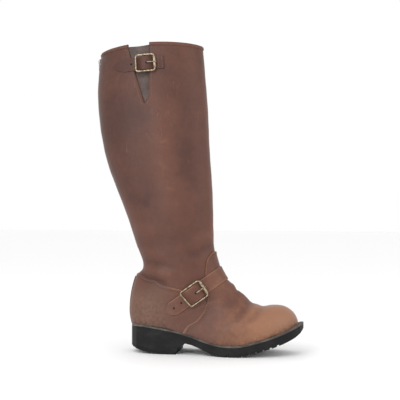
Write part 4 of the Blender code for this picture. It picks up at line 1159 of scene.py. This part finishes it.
@dataclass
class Collar:
    """Folded bindings round the rim and the recessed gusset in the V."""

    upper: Upper
    width: float = 0.0045
    thickness: float = 0.0011
    fold: float = 0.006
    crown: float = 0.0040
    clearance: float = 0.0002
    zip_room: float = 1.3
    tone: float = 0.12
    stitch_row: float = 0.13
    stitch_gap: float = 0.0003
    gusset_row: float = 0.12
    gusset_past: float = 0.35
    gusset_wrap: float = 0.10
    gusset_gap: float = 0.0004
    thread_angle: float = 0.05

    # The binding's outline, in shares of its half thickness and of its depth under the rim.
    OUTLINE = np.array([(0.0, -1.0), (0.35, -1.02), (0.8, -0.9), (1.0, -0.6), (1.0, -0.2),
                        (0.85, 0.15), (0.45, 0.32), (0.0, 0.36), (-0.45, 0.32), (-0.85, 0.15),
                        (-1.0, -0.2), (-1.0, -0.6), (-0.8, -0.9), (-0.35, -1.02)])

    def build_binding(self) -> None:
        """One binding each side of the V and the zip: a U profile over the edge."""
        shape, upper = self.upper.shape, self.upper
        a_front, a_back = (float(a[0]) for a in upper.v_angles(np.array([0.0])))
        gap = upper.zip_width / shape.calf_width * self.zip_room
        spans = {"collar_binding_front": (a_front - 2 * pi, pi - gap),
                 "collar_binding_back": (pi + gap, a_back)}
        half, out = shape.wall / 2, self.thickness + self.clearance
        for name, (start, end) in spans.items():
            angle = np.linspace(start, end, max(16, int((end - start) * 45)))
            rim, normal = shape.face(np.zeros(len(angle)), angle)
            below, _ = shape.face(np.full(len(angle), 0.2), angle)
            up = unit(rim - below)
            depth = self.OUTLINE[:, 1]
            profile = self.OUTLINE * (half + out, self.width)
            profile[:, 1] = np.where(depth > 0, depth * self.crown, profile[:, 1])
            centre = rim - normal * half
            points, quads = sweep(centre, normal, up, profile)
            points, quads = capped(points, quads, len(profile))
            traits = shape.traits(points)
            traits["tone"] = traits["tone"] + self.tone
            heart = np.repeat(centre - up * self.width / 2, len(profile), axis=0)
            outward = points - np.concatenate([heart, centre[:1] + 1, centre[-1:] + 1])
            side = name.removeprefix("collar_binding")
            add_piece("binding" + side, points, quads, Finish.LEATHER, replaces=(name,),
                      traits=traits, outward=outward)
            line, line_normal = shape.face(np.full(len(angle), self.stitch_row), angle,
                                           self.thickness + self.stitch_gap)
            Stitching(pitch=0.0024, length=0.0018, thick=0.0003).run(
                "stitches" + side, line[2:-2], line_normal[2:-2])

    def build_gusset(self) -> None:
        """Soft panel behind the V: it follows the inner face and folds inward toward the top."""
        shape, upper = self.upper.shape, self.upper
        tip = upper.row_at(upper.v_tip_level, pi * 1.5)
        u = np.linspace(self.gusset_row, tip + self.gusset_past, 80)
        a_front, a_back = upper.v_angles(np.minimum(u, tip))
        t = np.linspace(0, 1, 48)
        wrap = self.gusset_wrap
        angle = (a_back - wrap)[:, None] + (a_front - a_back + 2 * wrap)[:, None] * t[None]
        uu = np.repeat(u[:, None], len(t), axis=1)
        rise = np.clip(1 - u / tip, 0, 1)
        depth = (self.fold * (0.25 + 0.75 * rise)[:, None] * np.sin(pi * t)[None] ** 2
                 * smooth_step(rise * 6)[:, None])
        points, normal = shape.face(uu, angle, -shape.wall - self.gusset_gap - depth)
        piece = add_piece("gusset_leather", points, grid_faces(len(u), len(t)), Finish.GUSSET,
                          replaces=("gusset",), outward=normal)
        wall = piece.modifiers.new("thickness", "SOLIDIFY")
        wall.thickness, wall.offset = self.thickness, -1

    def build_seams(self) -> None:
        """Thread beside the V's edges."""
        shape, upper = self.upper.shape, self.upper
        tip = upper.row_at(upper.v_tip_level, pi * 1.5)
        u = np.linspace(0.25, tip + 0.05, 60)
        a_front, a_back = upper.v_angles(np.minimum(u, tip - 0.01))
        for name, angle in (("v_front_thread", a_front + self.thread_angle),
                            ("v_back_thread", a_back - self.thread_angle)):
            line, normal = shape.face(u, angle, THREAD_LIFT)
            Stitching().run(name, line, normal)


@dataclass
class Zip:
    """Zip up the back: teeth, tape, slider and the hinged pull."""

    upper: Upper
    tooth: float = 0.0017
    half_tooth: tuple[float, float, float] = (0.00048, 0.0015, 0.0007)
    narrowing: float = 0.86
    stagger: float = 0.0008
    sink: float = 0.75
    top_row: float = 0.33
    thread: float = 0.0062

    def build(self) -> None:
        """Rows of teeth that mesh along the chain, over the woven tape."""
        shape, upper = self.upper.shape, self.upper
        box_low, box_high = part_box("zip_chain")
        count = int((box_high[2] - box_low[2]) / self.tooth)
        rows = np.linspace(upper.row_at(upper.zip_end, pi), self.top_row, count)
        centre, normal = shape.face(rows, np.full(count, pi), -shape.wall * self.sink)
        run = unit(np.gradient(centre, axis=0))
        side = np.cross(run, normal)
        i, j, k = np.meshgrid((-1, 1), (-1, 1), (-1, 1), indexing="ij")
        corner = np.stack([i.ravel(), j.ravel(), k.ravel()], axis=1) * self.half_tooth
        corner[:, 1] *= np.where(corner[:, 2] > 0, self.narrowing, 1.0)
        faces = np.array([(0, 1, 3, 2), (4, 6, 7, 5), (0, 4, 5, 1), (2, 3, 7, 6), (0, 2, 6, 4),
                          (1, 5, 7, 3)])
        shift = np.where(np.arange(count) % 2 == 0, -self.stagger, self.stagger)
        axes = np.stack([run, side, normal], axis=1)
        points = (centre + side * shift[:, None])[:, None] + np.einsum("pk,nkj->npj", corner, axes)
        quads = (faces[None] + (np.arange(count) * 8)[:, None, None]).reshape(-1, 4)
        out = np.einsum("pk,nkj->npj", corner, axes).reshape(-1, 3)
        piece = add_piece("zip_teeth", points.reshape(-1, 3), quads, Finish.STEEL,
                          replaces=("zip_chain",), outward=out)
        piece.data.shade_flat()
        PALETTE.redress("zip_tape", Finish.TAPE)
        PALETTE.redress("zip_slider", Finish.STEEL)
        PALETTE.redress("zip_pull", Finish.STEEL)
        for side_name, way in (("_inner", -1), ("_outer", 1)):
            u = np.linspace(0.3, upper.row_at(upper.zip_end, pi) + 0.1, 200)
            width = np.array([upper.width_at(row) for row in u])
            line, line_normal = shape.face(u, pi + way * self.thread / width, THREAD_LIFT)
            Stitching().run("zip_thread" + side_name, line, line_normal)


@dataclass
class Strap:
    """A buckled strap: the strip, thread across its anchor, and the brass frame, roller and prong.
    """

    upper: Upper
    name: str
    centre: tuple[float, float]
    tilt: float
    width: float
    lift: float
    turn: tuple[float, float]
    buckle_station: float
    buckle_length: float
    anchor: float
    tip: float
    point_length: float
    thickness: float = 0.0020
    wire: float = 0.00135
    bar: float = 0.0010
    roller: float = 0.0023
    prong: float = 0.0010
    fit: float = 0.0003
    bar_clearance: float = 0.0012
    side_room: float = 0.0012
    corner: float = 0.0035
    bar_s: float = -0.0010
    hole_s: float = 0.0025
    hole: float = 0.0016
    hole_pitch: float = 0.014
    spare_room: float = 0.008
    punch_span: tuple[float, float] = (-0.003, 0.012)
    punch_turns: int = 24
    rows_from: float = 0.0
    tone: float = 0.0
    step: float = 0.0011
    edge_highlight_tone: float = 0.22

    def __post_init__(self) -> None:
        """Trace the strap's run over the leather."""
        shape = self.upper.shape
        u = np.linspace(self.rows_from, shape.last, 260)
        angle = np.linspace(0, 2 * pi, 200, endpoint=False)
        uu, aa = np.meshgrid(u, angle, indexing="ij")
        points, _ = shape.face(uu, aa, self.lift)
        skin = grid_faces(len(u), len(angle), closed=True)
        tree = BVHTree.FromPolygons(points.tolist(), skin.tolist())
        along = Vector((cos(self.tilt), 0, sin(self.tilt)))
        across = Vector((-sin(self.tilt), 0, cos(self.tilt)))
        heart = Vector((float(shape.x_of(self.centre[0])), 0, float(shape.height(self.centre[1]))))
        hits = []
        for a in np.radians(np.linspace(*self.turn, 150)):
            ray = along * cos(a) - Vector((0, 1, 0)) * sin(a)
            hits.append([tuple(tree.ray_cast(heart + across * t, ray)[0])
                         for t in np.linspace(-self.width / 2, self.width / 2, 5)])
        grid = np.array(hits)
        kernel = np.array([1, 2, 3, 2, 1]) / 9
        padded = np.concatenate([grid[:1]] * 2 + [grid] + [grid[-1:]] * 2)
        grid = sum(weight * padded[k:k + len(grid)] for k, weight in enumerate(kernel))
        middle = grid[:, 2]
        length = np.concatenate([[0], np.cumsum(np.linalg.norm(np.diff(middle, axis=0), axis=1))])
        side = middle[:, 1] < 0
        start = np.interp(float(shape.x_of(self.buckle_station)), middle[side, 0][::-1],
                          length[side][::-1])
        run = np.gradient(grid, axis=0)
        normal = unit(np.cross(run, (grid[:, 4] - grid[:, 0])[:, None, :]))
        flip = np.sign((normal[:, 2] * (middle - np.array(heart))).sum(axis=1))
        order = np.argsort(start - length)
        self.s = (start - length)[order]
        self.grid, self.normal = grid[order], (normal * flip[:, None, None])[order]

    def _read(self, values: Array, s: Array) -> Array:
        """Rows of a table at lengths s."""
        flat = values.reshape(len(self.s), -1)
        return np.stack([np.interp(s, self.s, column) for column in flat.T], axis=1).reshape(
            len(s), *values.shape[1:])

    def at(self, s: Array, t: Array, h: Array) -> Array:
        """Points that follow the leather: s along, t across, h over it."""
        grid, normal = self._read(self.grid, s), self._read(self.normal, s)
        place = np.clip((t / self.width + 0.5) * 4, 0, 4)
        k = np.minimum(place.astype(int), 3)
        share = (place - k)[:, None]
        index = np.arange(len(s))
        point = grid[index, k] * (1 - share) + grid[index, k + 1] * share
        up = unit(normal[index, k] * (1 - share) + normal[index, k + 1] * share)
        return point + up * h[:, None]

    def rigid(self, s: Array, t: Array, h: Array) -> Array:
        """Points of a hard piece, straight across the strap."""
        grid, normal = self._read(self.grid, s), self._read(self.normal, s)
        cross = unit(grid[:, 4] - grid[:, 0])
        return grid[:, 2] + cross * t[:, None] + normal[:, 2] * h[:, None]

    def heights(self) -> tuple[float, float, float, float]:
        """Heights of the strip's middle, the frame's wire, the bar and the strip's crest."""
        ground = self.fit * 0.3 + self.thickness / 2
        ring = self.fit + self.thickness + 2 * self.fit + self.roller
        bar = self.fit + self.bar_clearance + self.bar
        return ground, ring, bar, bar + self.bar + 2 * self.fit + self.thickness / 2

    def build_strip(self) -> None:
        """The strip: a rounded flat profile on a path that rises over the hidden bar."""
        ground, _, _, crest = self.heights()
        half = self.buckle_length / 2
        knots = np.array([(self.tip, ground), (-half - 0.010, ground), (-half, ground),
                          (-half + 0.003, ground + 0.0003), (self.bar_s - 0.003, crest - 0.0004),
                          (self.bar_s, crest), (self.hole_s, crest - 0.0003),
                          (half - 0.0055, ground + 0.0010), (half - 0.002, ground),
                          (half + 0.006, ground), (self.anchor, ground)])
        s = np.concatenate([self.tip + self.point_length * np.linspace(0, 1, 24) ** 2 * 0.5,
                            np.arange(self.tip + self.point_length * 0.53, self.anchor, self.step),
                            [self.anchor]])
        h = curve(s, knots[:, 0], knots[:, 1])
        reach = np.clip((s - self.tip) / self.point_length, 0.003, 1)
        half_width = self.width / 2 * np.sqrt(reach)
        slope = np.gradient(h, s)
        edge = self.thickness / 2
        # The outline across the strip: its top, one edge, its underside and the other edge.
        t = np.concatenate([np.linspace(-1, 1, 13), [1.0, 1.0],
                            np.linspace(1, -1, 13), [-1.0, -1.0]])
        inset = np.concatenate([[0.035, 0.008], np.zeros(9), [0.008, 0.035], [0.0, 0.0],
                                [0.035, 0.008], np.zeros(9), [0.008, 0.035], [0.0, 0.0]])
        v = np.concatenate([np.full(13, 1.0), [0.5, -0.5], np.full(13, -1.0), [-0.5, 0.5]])
        v = v * (1 - inset * 6)
        t = np.sign(t) * (np.abs(t) - inset)
        crown = 1 + 0.10 * (1 - t ** 2) * (v > 0)
        ss = np.repeat(s[:, None], len(t), axis=1)
        tt = half_width[:, None] * t[None]
        hh = h[:, None] + (edge * v * crown)[None]
        ss = ss - slope[:, None] * (edge * v)[None]
        points = self.at(ss.ravel(), tt.ravel(), hh.ravel())
        quads = grid_faces(len(s), len(t), closed=True)
        points, quads = capped(points, quads, len(t))
        heart = points[:-2].reshape(len(s), len(t), 3).mean(axis=1)
        outward = points - np.concatenate([np.repeat(heart, len(t), axis=0), points[-2:] + 1])
        traits = self.upper.shape.traits(points)
        # Painted highlight along both edges of the strip.
        edge_highlight = np.append(np.tile(np.abs(t) > 0.93, len(s)), [True, True])
        traits["tone"] = traits["tone"] + self.tone + self.edge_highlight_tone * edge_highlight
        strip = add_piece(self.name + "_leather", points, quads, Finish.STRAP,
                          replaces=(self.name,), traits=traits, outward=outward)
        self.punch(strip)

    def punch(self, strip: bpy.types.Object) -> None:
        """Cut the prong's hole and the spare ones through the strip.

        Args:
            strip: The strap's strip.
        """
        count = self.punch_turns
        turn = np.linspace(0, 2 * pi, count, endpoint=False)
        spare = -self.buckle_length / 2 - self.spare_room
        last = self.tip + self.point_length
        holes = [self.hole_s] + [s for s in (spare, spare - self.hole_pitch) if s > last]
        for s in holes:
            rings = [self.rigid(s + self.hole * np.cos(turn), self.hole * np.sin(turn),
                                np.full(count, h)) for h in self.punch_span]
            tube = grid_faces(len(rings), count, closed=True)
            points, quads = capped(np.concatenate(rings), tube, count)
            mesh = bpy.data.meshes.new("punch")
            faces = [face[:3] if face[0] == face[3] else face for face in quads.tolist()]
            mesh.from_pydata(points.tolist(), [], faces)
            cutter = bpy.data.objects.new("punch", mesh)
            bpy.context.scene.collection.objects.link(cutter)
            cut = strip.modifiers.new("hole", "BOOLEAN")
            cut.object, cut.solver = cutter, "EXACT"
            graph = bpy.context.evaluated_depsgraph_get()
            strip.data = bpy.data.meshes.new_from_object(strip.evaluated_get(graph))
            strip.modifiers.clear()
            bpy.data.objects.remove(cutter)
        strip.data.set_sharp_from_angle(angle=radians(40))

    def build_stitches(self) -> None:
        """Thread across the anchor."""
        ground = self.heights()[0]
        end = self.anchor - 0.0025
        t = np.linspace(-self.width * 0.42, self.width * 0.42, 12)
        for name, s in (("_anchor_thread", end), ("_anchor_thread_b", end - 0.006)):
            over = ground + self.thickness / 2 + THREAD_LIFT
            line = self.at(np.full(12, s), t, np.full(12, over))
            above = self.at(np.full(12, s), t, np.full(12, ground + 0.01))
            Stitching().run(self.name + name, line, unit(above - line))

    def tube(self, name: str, points: Array, side: Array, radius: Array | float, node: str | None,
             closed: bool = False, turns: int = 16) -> None:
        """Round wire along points.

        Args:
            name: The piece's name.
            points: Path.
            side: A direction that is never along the path.
            radius: Radius, or one for each point.
            node: The node that it replaces, if any.
            closed: Whether the path goes round.
            turns: Number of facets round it.
        """
        if closed:
            run = unit(np.roll(points, -1, axis=0) - np.roll(points, 1, axis=0))
        else:
            run = unit(np.gradient(points, axis=0))
        cross = unit(np.cross(run, side))
        up = np.cross(cross, run)
        turn = np.linspace(0, 2 * pi, turns, endpoint=False)
        ring = np.stack([np.cos(turn), np.sin(turn)], axis=1)
        profile = ring[None] * np.broadcast_to(radius, len(points))[:, None, None]
        verts, quads = sweep(points, cross, up, profile, closed)
        centre = np.repeat(points, turns, axis=0)
        if not closed:
            verts, quads = capped(verts, quads, turns)
            centre = np.concatenate([centre, verts[-2:] + 1])
        add_piece(name, verts, quads, Finish.BRASS, replaces=(node,) if node else (),
                  outward=verts - centre)

    def build_buckle(self) -> None:
        """Frame with rounded corners, its centre bar, the roller and the prong."""
        _, ring, bar, crest = self.heights()
        half, corner = self.buckle_length / 2, self.corner
        side = self.width / 2 + self.side_room + self.wire
        turn = np.radians(np.linspace(0, 90, 9))
        flat = np.concatenate([
            np.stack([sx * (half - corner) + corner * np.cos(start + turn),
                      sy * (side - corner) + corner * np.sin(start + turn)], axis=1)
            for sx, sy, start in ((1, 1, 0), (-1, 1, pi / 2), (-1, -1, pi), (1, -1, 1.5 * pi))])
        points = self.rigid(flat[:, 0], flat[:, 1], np.full(len(flat), ring))
        above = self.rigid(flat[:, 0], flat[:, 1], np.full(len(flat), ring + 1))
        self.tube(self.name + "_wire", points, above - points, self.wire,
                  self.name + "_frame", closed=True)
        t = np.array([-side, -side + 0.0006, -side + 0.0022, 0, side - 0.0022, side - 0.0006, side])
        h = np.array([ring, bar + 0.0008, bar, bar, bar, bar + 0.0008, ring])
        line = self.rigid(np.full(7, self.bar_s), t, h)
        ahead = self.rigid(np.full(7, self.bar_s + 0.001), t, h)
        self.tube(self.name + "_bar", line, ahead - line, self.bar, None)
        t = np.linspace(-side + corner, side - corner, 40)
        line = self.rigid(np.full(40, half), t, np.full(40, ring))
        above = self.rigid(np.full(40, half), t, np.full(40, ring + 0.01))
        share = np.linspace(-1, 1, 40)
        seam = 1 - 0.10 * np.exp(-((np.abs(share) - 0.86) / 0.035) ** 2)
        shell = np.where(np.abs(share) > 0.975, 0.86, 1.0) * seam
        self.tube(self.name + "_roll", line, above - line, self.roller * shell,
                  self.name + "_roller")
        rest = ring + self.roller + self.fit + self.prong
        knots = np.array([(self.hole_s, bar + 0.0002), (self.hole_s + 0.0001, crest - 0.0006),
                          (self.hole_s + 0.0003, crest + 0.0016),
                          (self.hole_s + 0.0018, rest - 0.0001), (half - 0.002, rest),
                          (half + self.roller + 0.0006, rest - 0.0006)])
        fine = np.linspace(0, len(knots) - 1, 40)
        s, h = (curve(fine, np.arange(len(knots)), knots[:, k]) for k in (0, 1))
        line = self.rigid(s, np.zeros(40), h)
        beside = self.rigid(s, np.full(40, 0.01), h)
        radius = self.prong * np.interp(fine, [0, 4, 5], [1.0, 0.95, 0.7])
        self.tube(self.name + "_tongue", line, beside - line, radius, self.name + "_prong")

    def build(self) -> None:
        """Strip, thread and buckle."""
        self.build_strip()
        self.build_stitches()
        self.build_buckle()


@dataclass
class Sole:
    """Rubber sole, heel lift, welt edge and insole."""

    shape: Last
    reach: float = 0.494
    inset: float = 0.0016
    proud: float = 0.0001
    fore: float = 0.30

    def dress(self) -> None:
        """Give the moulded pieces their finishes."""
        PALETTE.redress("outsole", Finish.RUBBER)
        PALETTE.redress("heel_lift", Finish.RUBBER)
        PALETTE.redress("midsole", Finish.WELT)
        PALETTE.redress("insole", Finish.INSOLE)

    def build_welt_thread(self) -> None:
        """Thread along the ledge that the sole leaves outside the leather."""
        shape = self.shape
        turn = np.linspace(0, 2 * pi, 900)
        share = 0.5 - self.reach * np.cos(turn)
        side = np.where(turn < pi, -1.0, 1.0)
        half = np.where(side < 0, shape.half(share, -1), shape.half(share, 1))
        outline = np.stack([shape.x_of(share), side * half], axis=1)
        run = unit(np.gradient(outline, axis=0))
        inward = np.stack([-run[:, 1], run[:, 0]], axis=1)
        flip = np.sign((inward * (np.array([shape.x_of(0.5), 0.0]) - outline)).sum(axis=1))
        line = outline + inward * (flip * self.inset)[:, None]
        height = shape.sole_top(shape.station(line[:, 0])) + self.proud
        path = np.column_stack([line, height])
        fore = share > self.fore
        up = np.tile((0.0, 0.0, 1.0), (len(path), 1))
        Stitching(pitch=0.0034, length=0.0027).run("welt_thread", path[fore], up[fore])


@dataclass
class Seams:
    """Thread along the overlays' edges."""

    upper: Upper
    offset: float = 0.16
    second_offset: float = 0.34
    proud: float = 0.0002

    def build(self) -> None:
        """Two rows behind the vamp's edge and one under the counter's top."""
        shape = self.upper.shape
        angle, rows = self.upper.vamp_edge(300)
        keep = rows < shape.last - 0.5
        for name, offset in (("vamp_thread", self.offset), ("vamp_thread_b", self.second_offset)):
            line, normal = shape.face(rows[keep] + offset, angle[keep],
                                      shape.overlay * self.upper.vamp_stack + self.proud)
            above = line[:, 2] > shape.sole_top(shape.station(line[:, 0])) + 0.001
            Stitching().run(name, line[above], normal[above])
        angle, rows = self.upper.counter_edge(240)
        keep = np.abs(angle - pi) > 0.16
        for side_name, part in (("_inner", angle < pi), ("_outer", angle > pi)):
            pick = keep & part
            line, normal = shape.face(rows[pick] + self.offset, angle[pick],
                                      shape.overlay + self.proud)
            seam = curve(shape.level(line[:, 2]), shape.VAMP_SEAM[:, 0], shape.VAMP_SEAM[:, 1])
            behind = shape.station(line[:, 0]) < seam - 0.01
            Stitching().run("counter_thread" + side_name, line[behind], normal[behind])


@dataclass
class Studio:
    """Pale floor, soft lights and the camera at the photograph's angle."""

    pivot: tuple[float, float, float] = (0.057, 0.0, 0.2347)
    distance: float = 1.45
    yaw: float = radians(9.0)
    slide: float = 0.0112
    lens_px: float = 925.0
    frame_px: float = 400.0
    rise_px: float = 2.0
    sensor: float = 36.0
    floor_reach: float = 6.0
    floor_drop: float = 0.0003
    floor_colour: Colour = (0.96, 0.96, 0.96)
    floor_roughness: float = 0.75

    def build_camera(self) -> None:
        """Level camera: it looks along the turned Y axis from the outer side."""
        data = bpy.data.cameras.new("camera")
        camera = bpy.data.objects.new("camera", data)
        bpy.context.scene.collection.objects.link(camera)
        right = np.array((cos(self.yaw), sin(self.yaw), 0))
        ahead = np.array((-sin(self.yaw), cos(self.yaw), 0))
        camera.location = np.array(self.pivot) - self.distance * ahead - self.slide * right
        camera.rotation_euler = (radians(90), 0, self.yaw)
        data.sensor_width = self.sensor
        data.lens = self.lens_px / self.frame_px * self.sensor
        data.shift_y = self.rise_px / self.frame_px
        bpy.context.scene.camera = camera

    def add_light(self, name: str, place: Colour, aim: Colour, size: float, tall: float,
                  power: float) -> None:
        """One soft light aimed at a point.

        Args:
            name: The light's name.
            place: Where it stands.
            aim: The point that it faces.
            size: Its width.
            tall: Its height.
            power: Its power in watts.
        """
        data = bpy.data.lights.new(name, "AREA")
        data.shape = "RECTANGLE"
        data.size, data.size_y, data.energy = size, tall, power
        light = bpy.data.objects.new(name, data)
        light.location = place
        light.rotation_euler = (Vector(aim) - Vector(place)).to_track_quat("-Z", "Y").to_euler()
        bpy.context.scene.collection.objects.link(light)

    def build_room(self) -> None:
        """Floor, world and lights."""
        reach = self.floor_reach
        corners = [(x, y, 0.0) for x, y in ((-reach, -reach), (reach, -reach), (reach, reach),
                                            (-reach, reach))]
        floor = bpy.data.meshes.new("floor")
        floor.from_pydata(corners, [], [(0, 1, 2, 3)])
        item = bpy.data.objects.new("floor", floor)
        item.location.z = -self.floor_drop
        paint = Shader("floor_paint")
        paint.feed("Base Color", self.floor_colour)
        paint.feed("Roughness", self.floor_roughness)
        floor.materials.append(paint.material)
        bpy.context.scene.collection.objects.link(item)
        world = bpy.data.worlds.new("studio")
        world.use_nodes = True
        sky = world.node_tree.nodes["Background"]
        sky.inputs[0].default_value = (1.0, 1.0, 1.0, 1)
        sky.inputs[1].default_value = 1.0
        bpy.context.scene.world = world
        bpy.context.scene.view_settings.view_transform = "Standard"
        self.add_light("key", (-0.35, -1.5, 1.3), (0.03, 0, 0.22), 0.8, 0.8, 8)
        self.add_light("strip", (-0.62, -1.35, 0.35), (0.0, 0, 0.30), 0.16, 0.9, 3)
        self.add_light("fill", (1.5, -0.8, 0.8), (0.03, 0, 0.2), 1.2, 1.2, 4)


def main() -> None:
    """Build every sub-assembly in order."""
    logging.basicConfig(level=logging.INFO, format="%(message)s")
    studio = Studio()
    studio.build_camera()
    studio.build_room()
    shape = Last(creases=crease_set())
    upper = Upper(shape)
    upper.build_shaft()
    upper.build_lining()
    upper.build_overlays()
    collar = Collar(upper)
    collar.build_binding()
    collar.build_gusset()
    collar.build_seams()
    Zip(upper).build()
    Strap(upper, "top_strap", centre=(0.13, 1.94), tilt=radians(4.4), width=0.0200, lift=0.0,
          turn=(25, 170), buckle_station=0.115, buckle_length=0.0280, anchor=0.028, tip=-0.054,
          point_length=0.020, tone=-0.15).build()
    Strap(upper, "instep_strap", centre=(0.40, 0.57), tilt=radians(36), width=0.0225,
          lift=0.0022, turn=(-118, 150), buckle_station=0.388, buckle_length=0.0330,
          anchor=0.150, tip=-0.052, point_length=0.012, rows_from=8.0, tone=0.06).build()
    Seams(upper).build()
    sole = Sole(shape)
    sole.dress()
    sole.build_welt_thread()


if __name__ == "__main__":
    main()
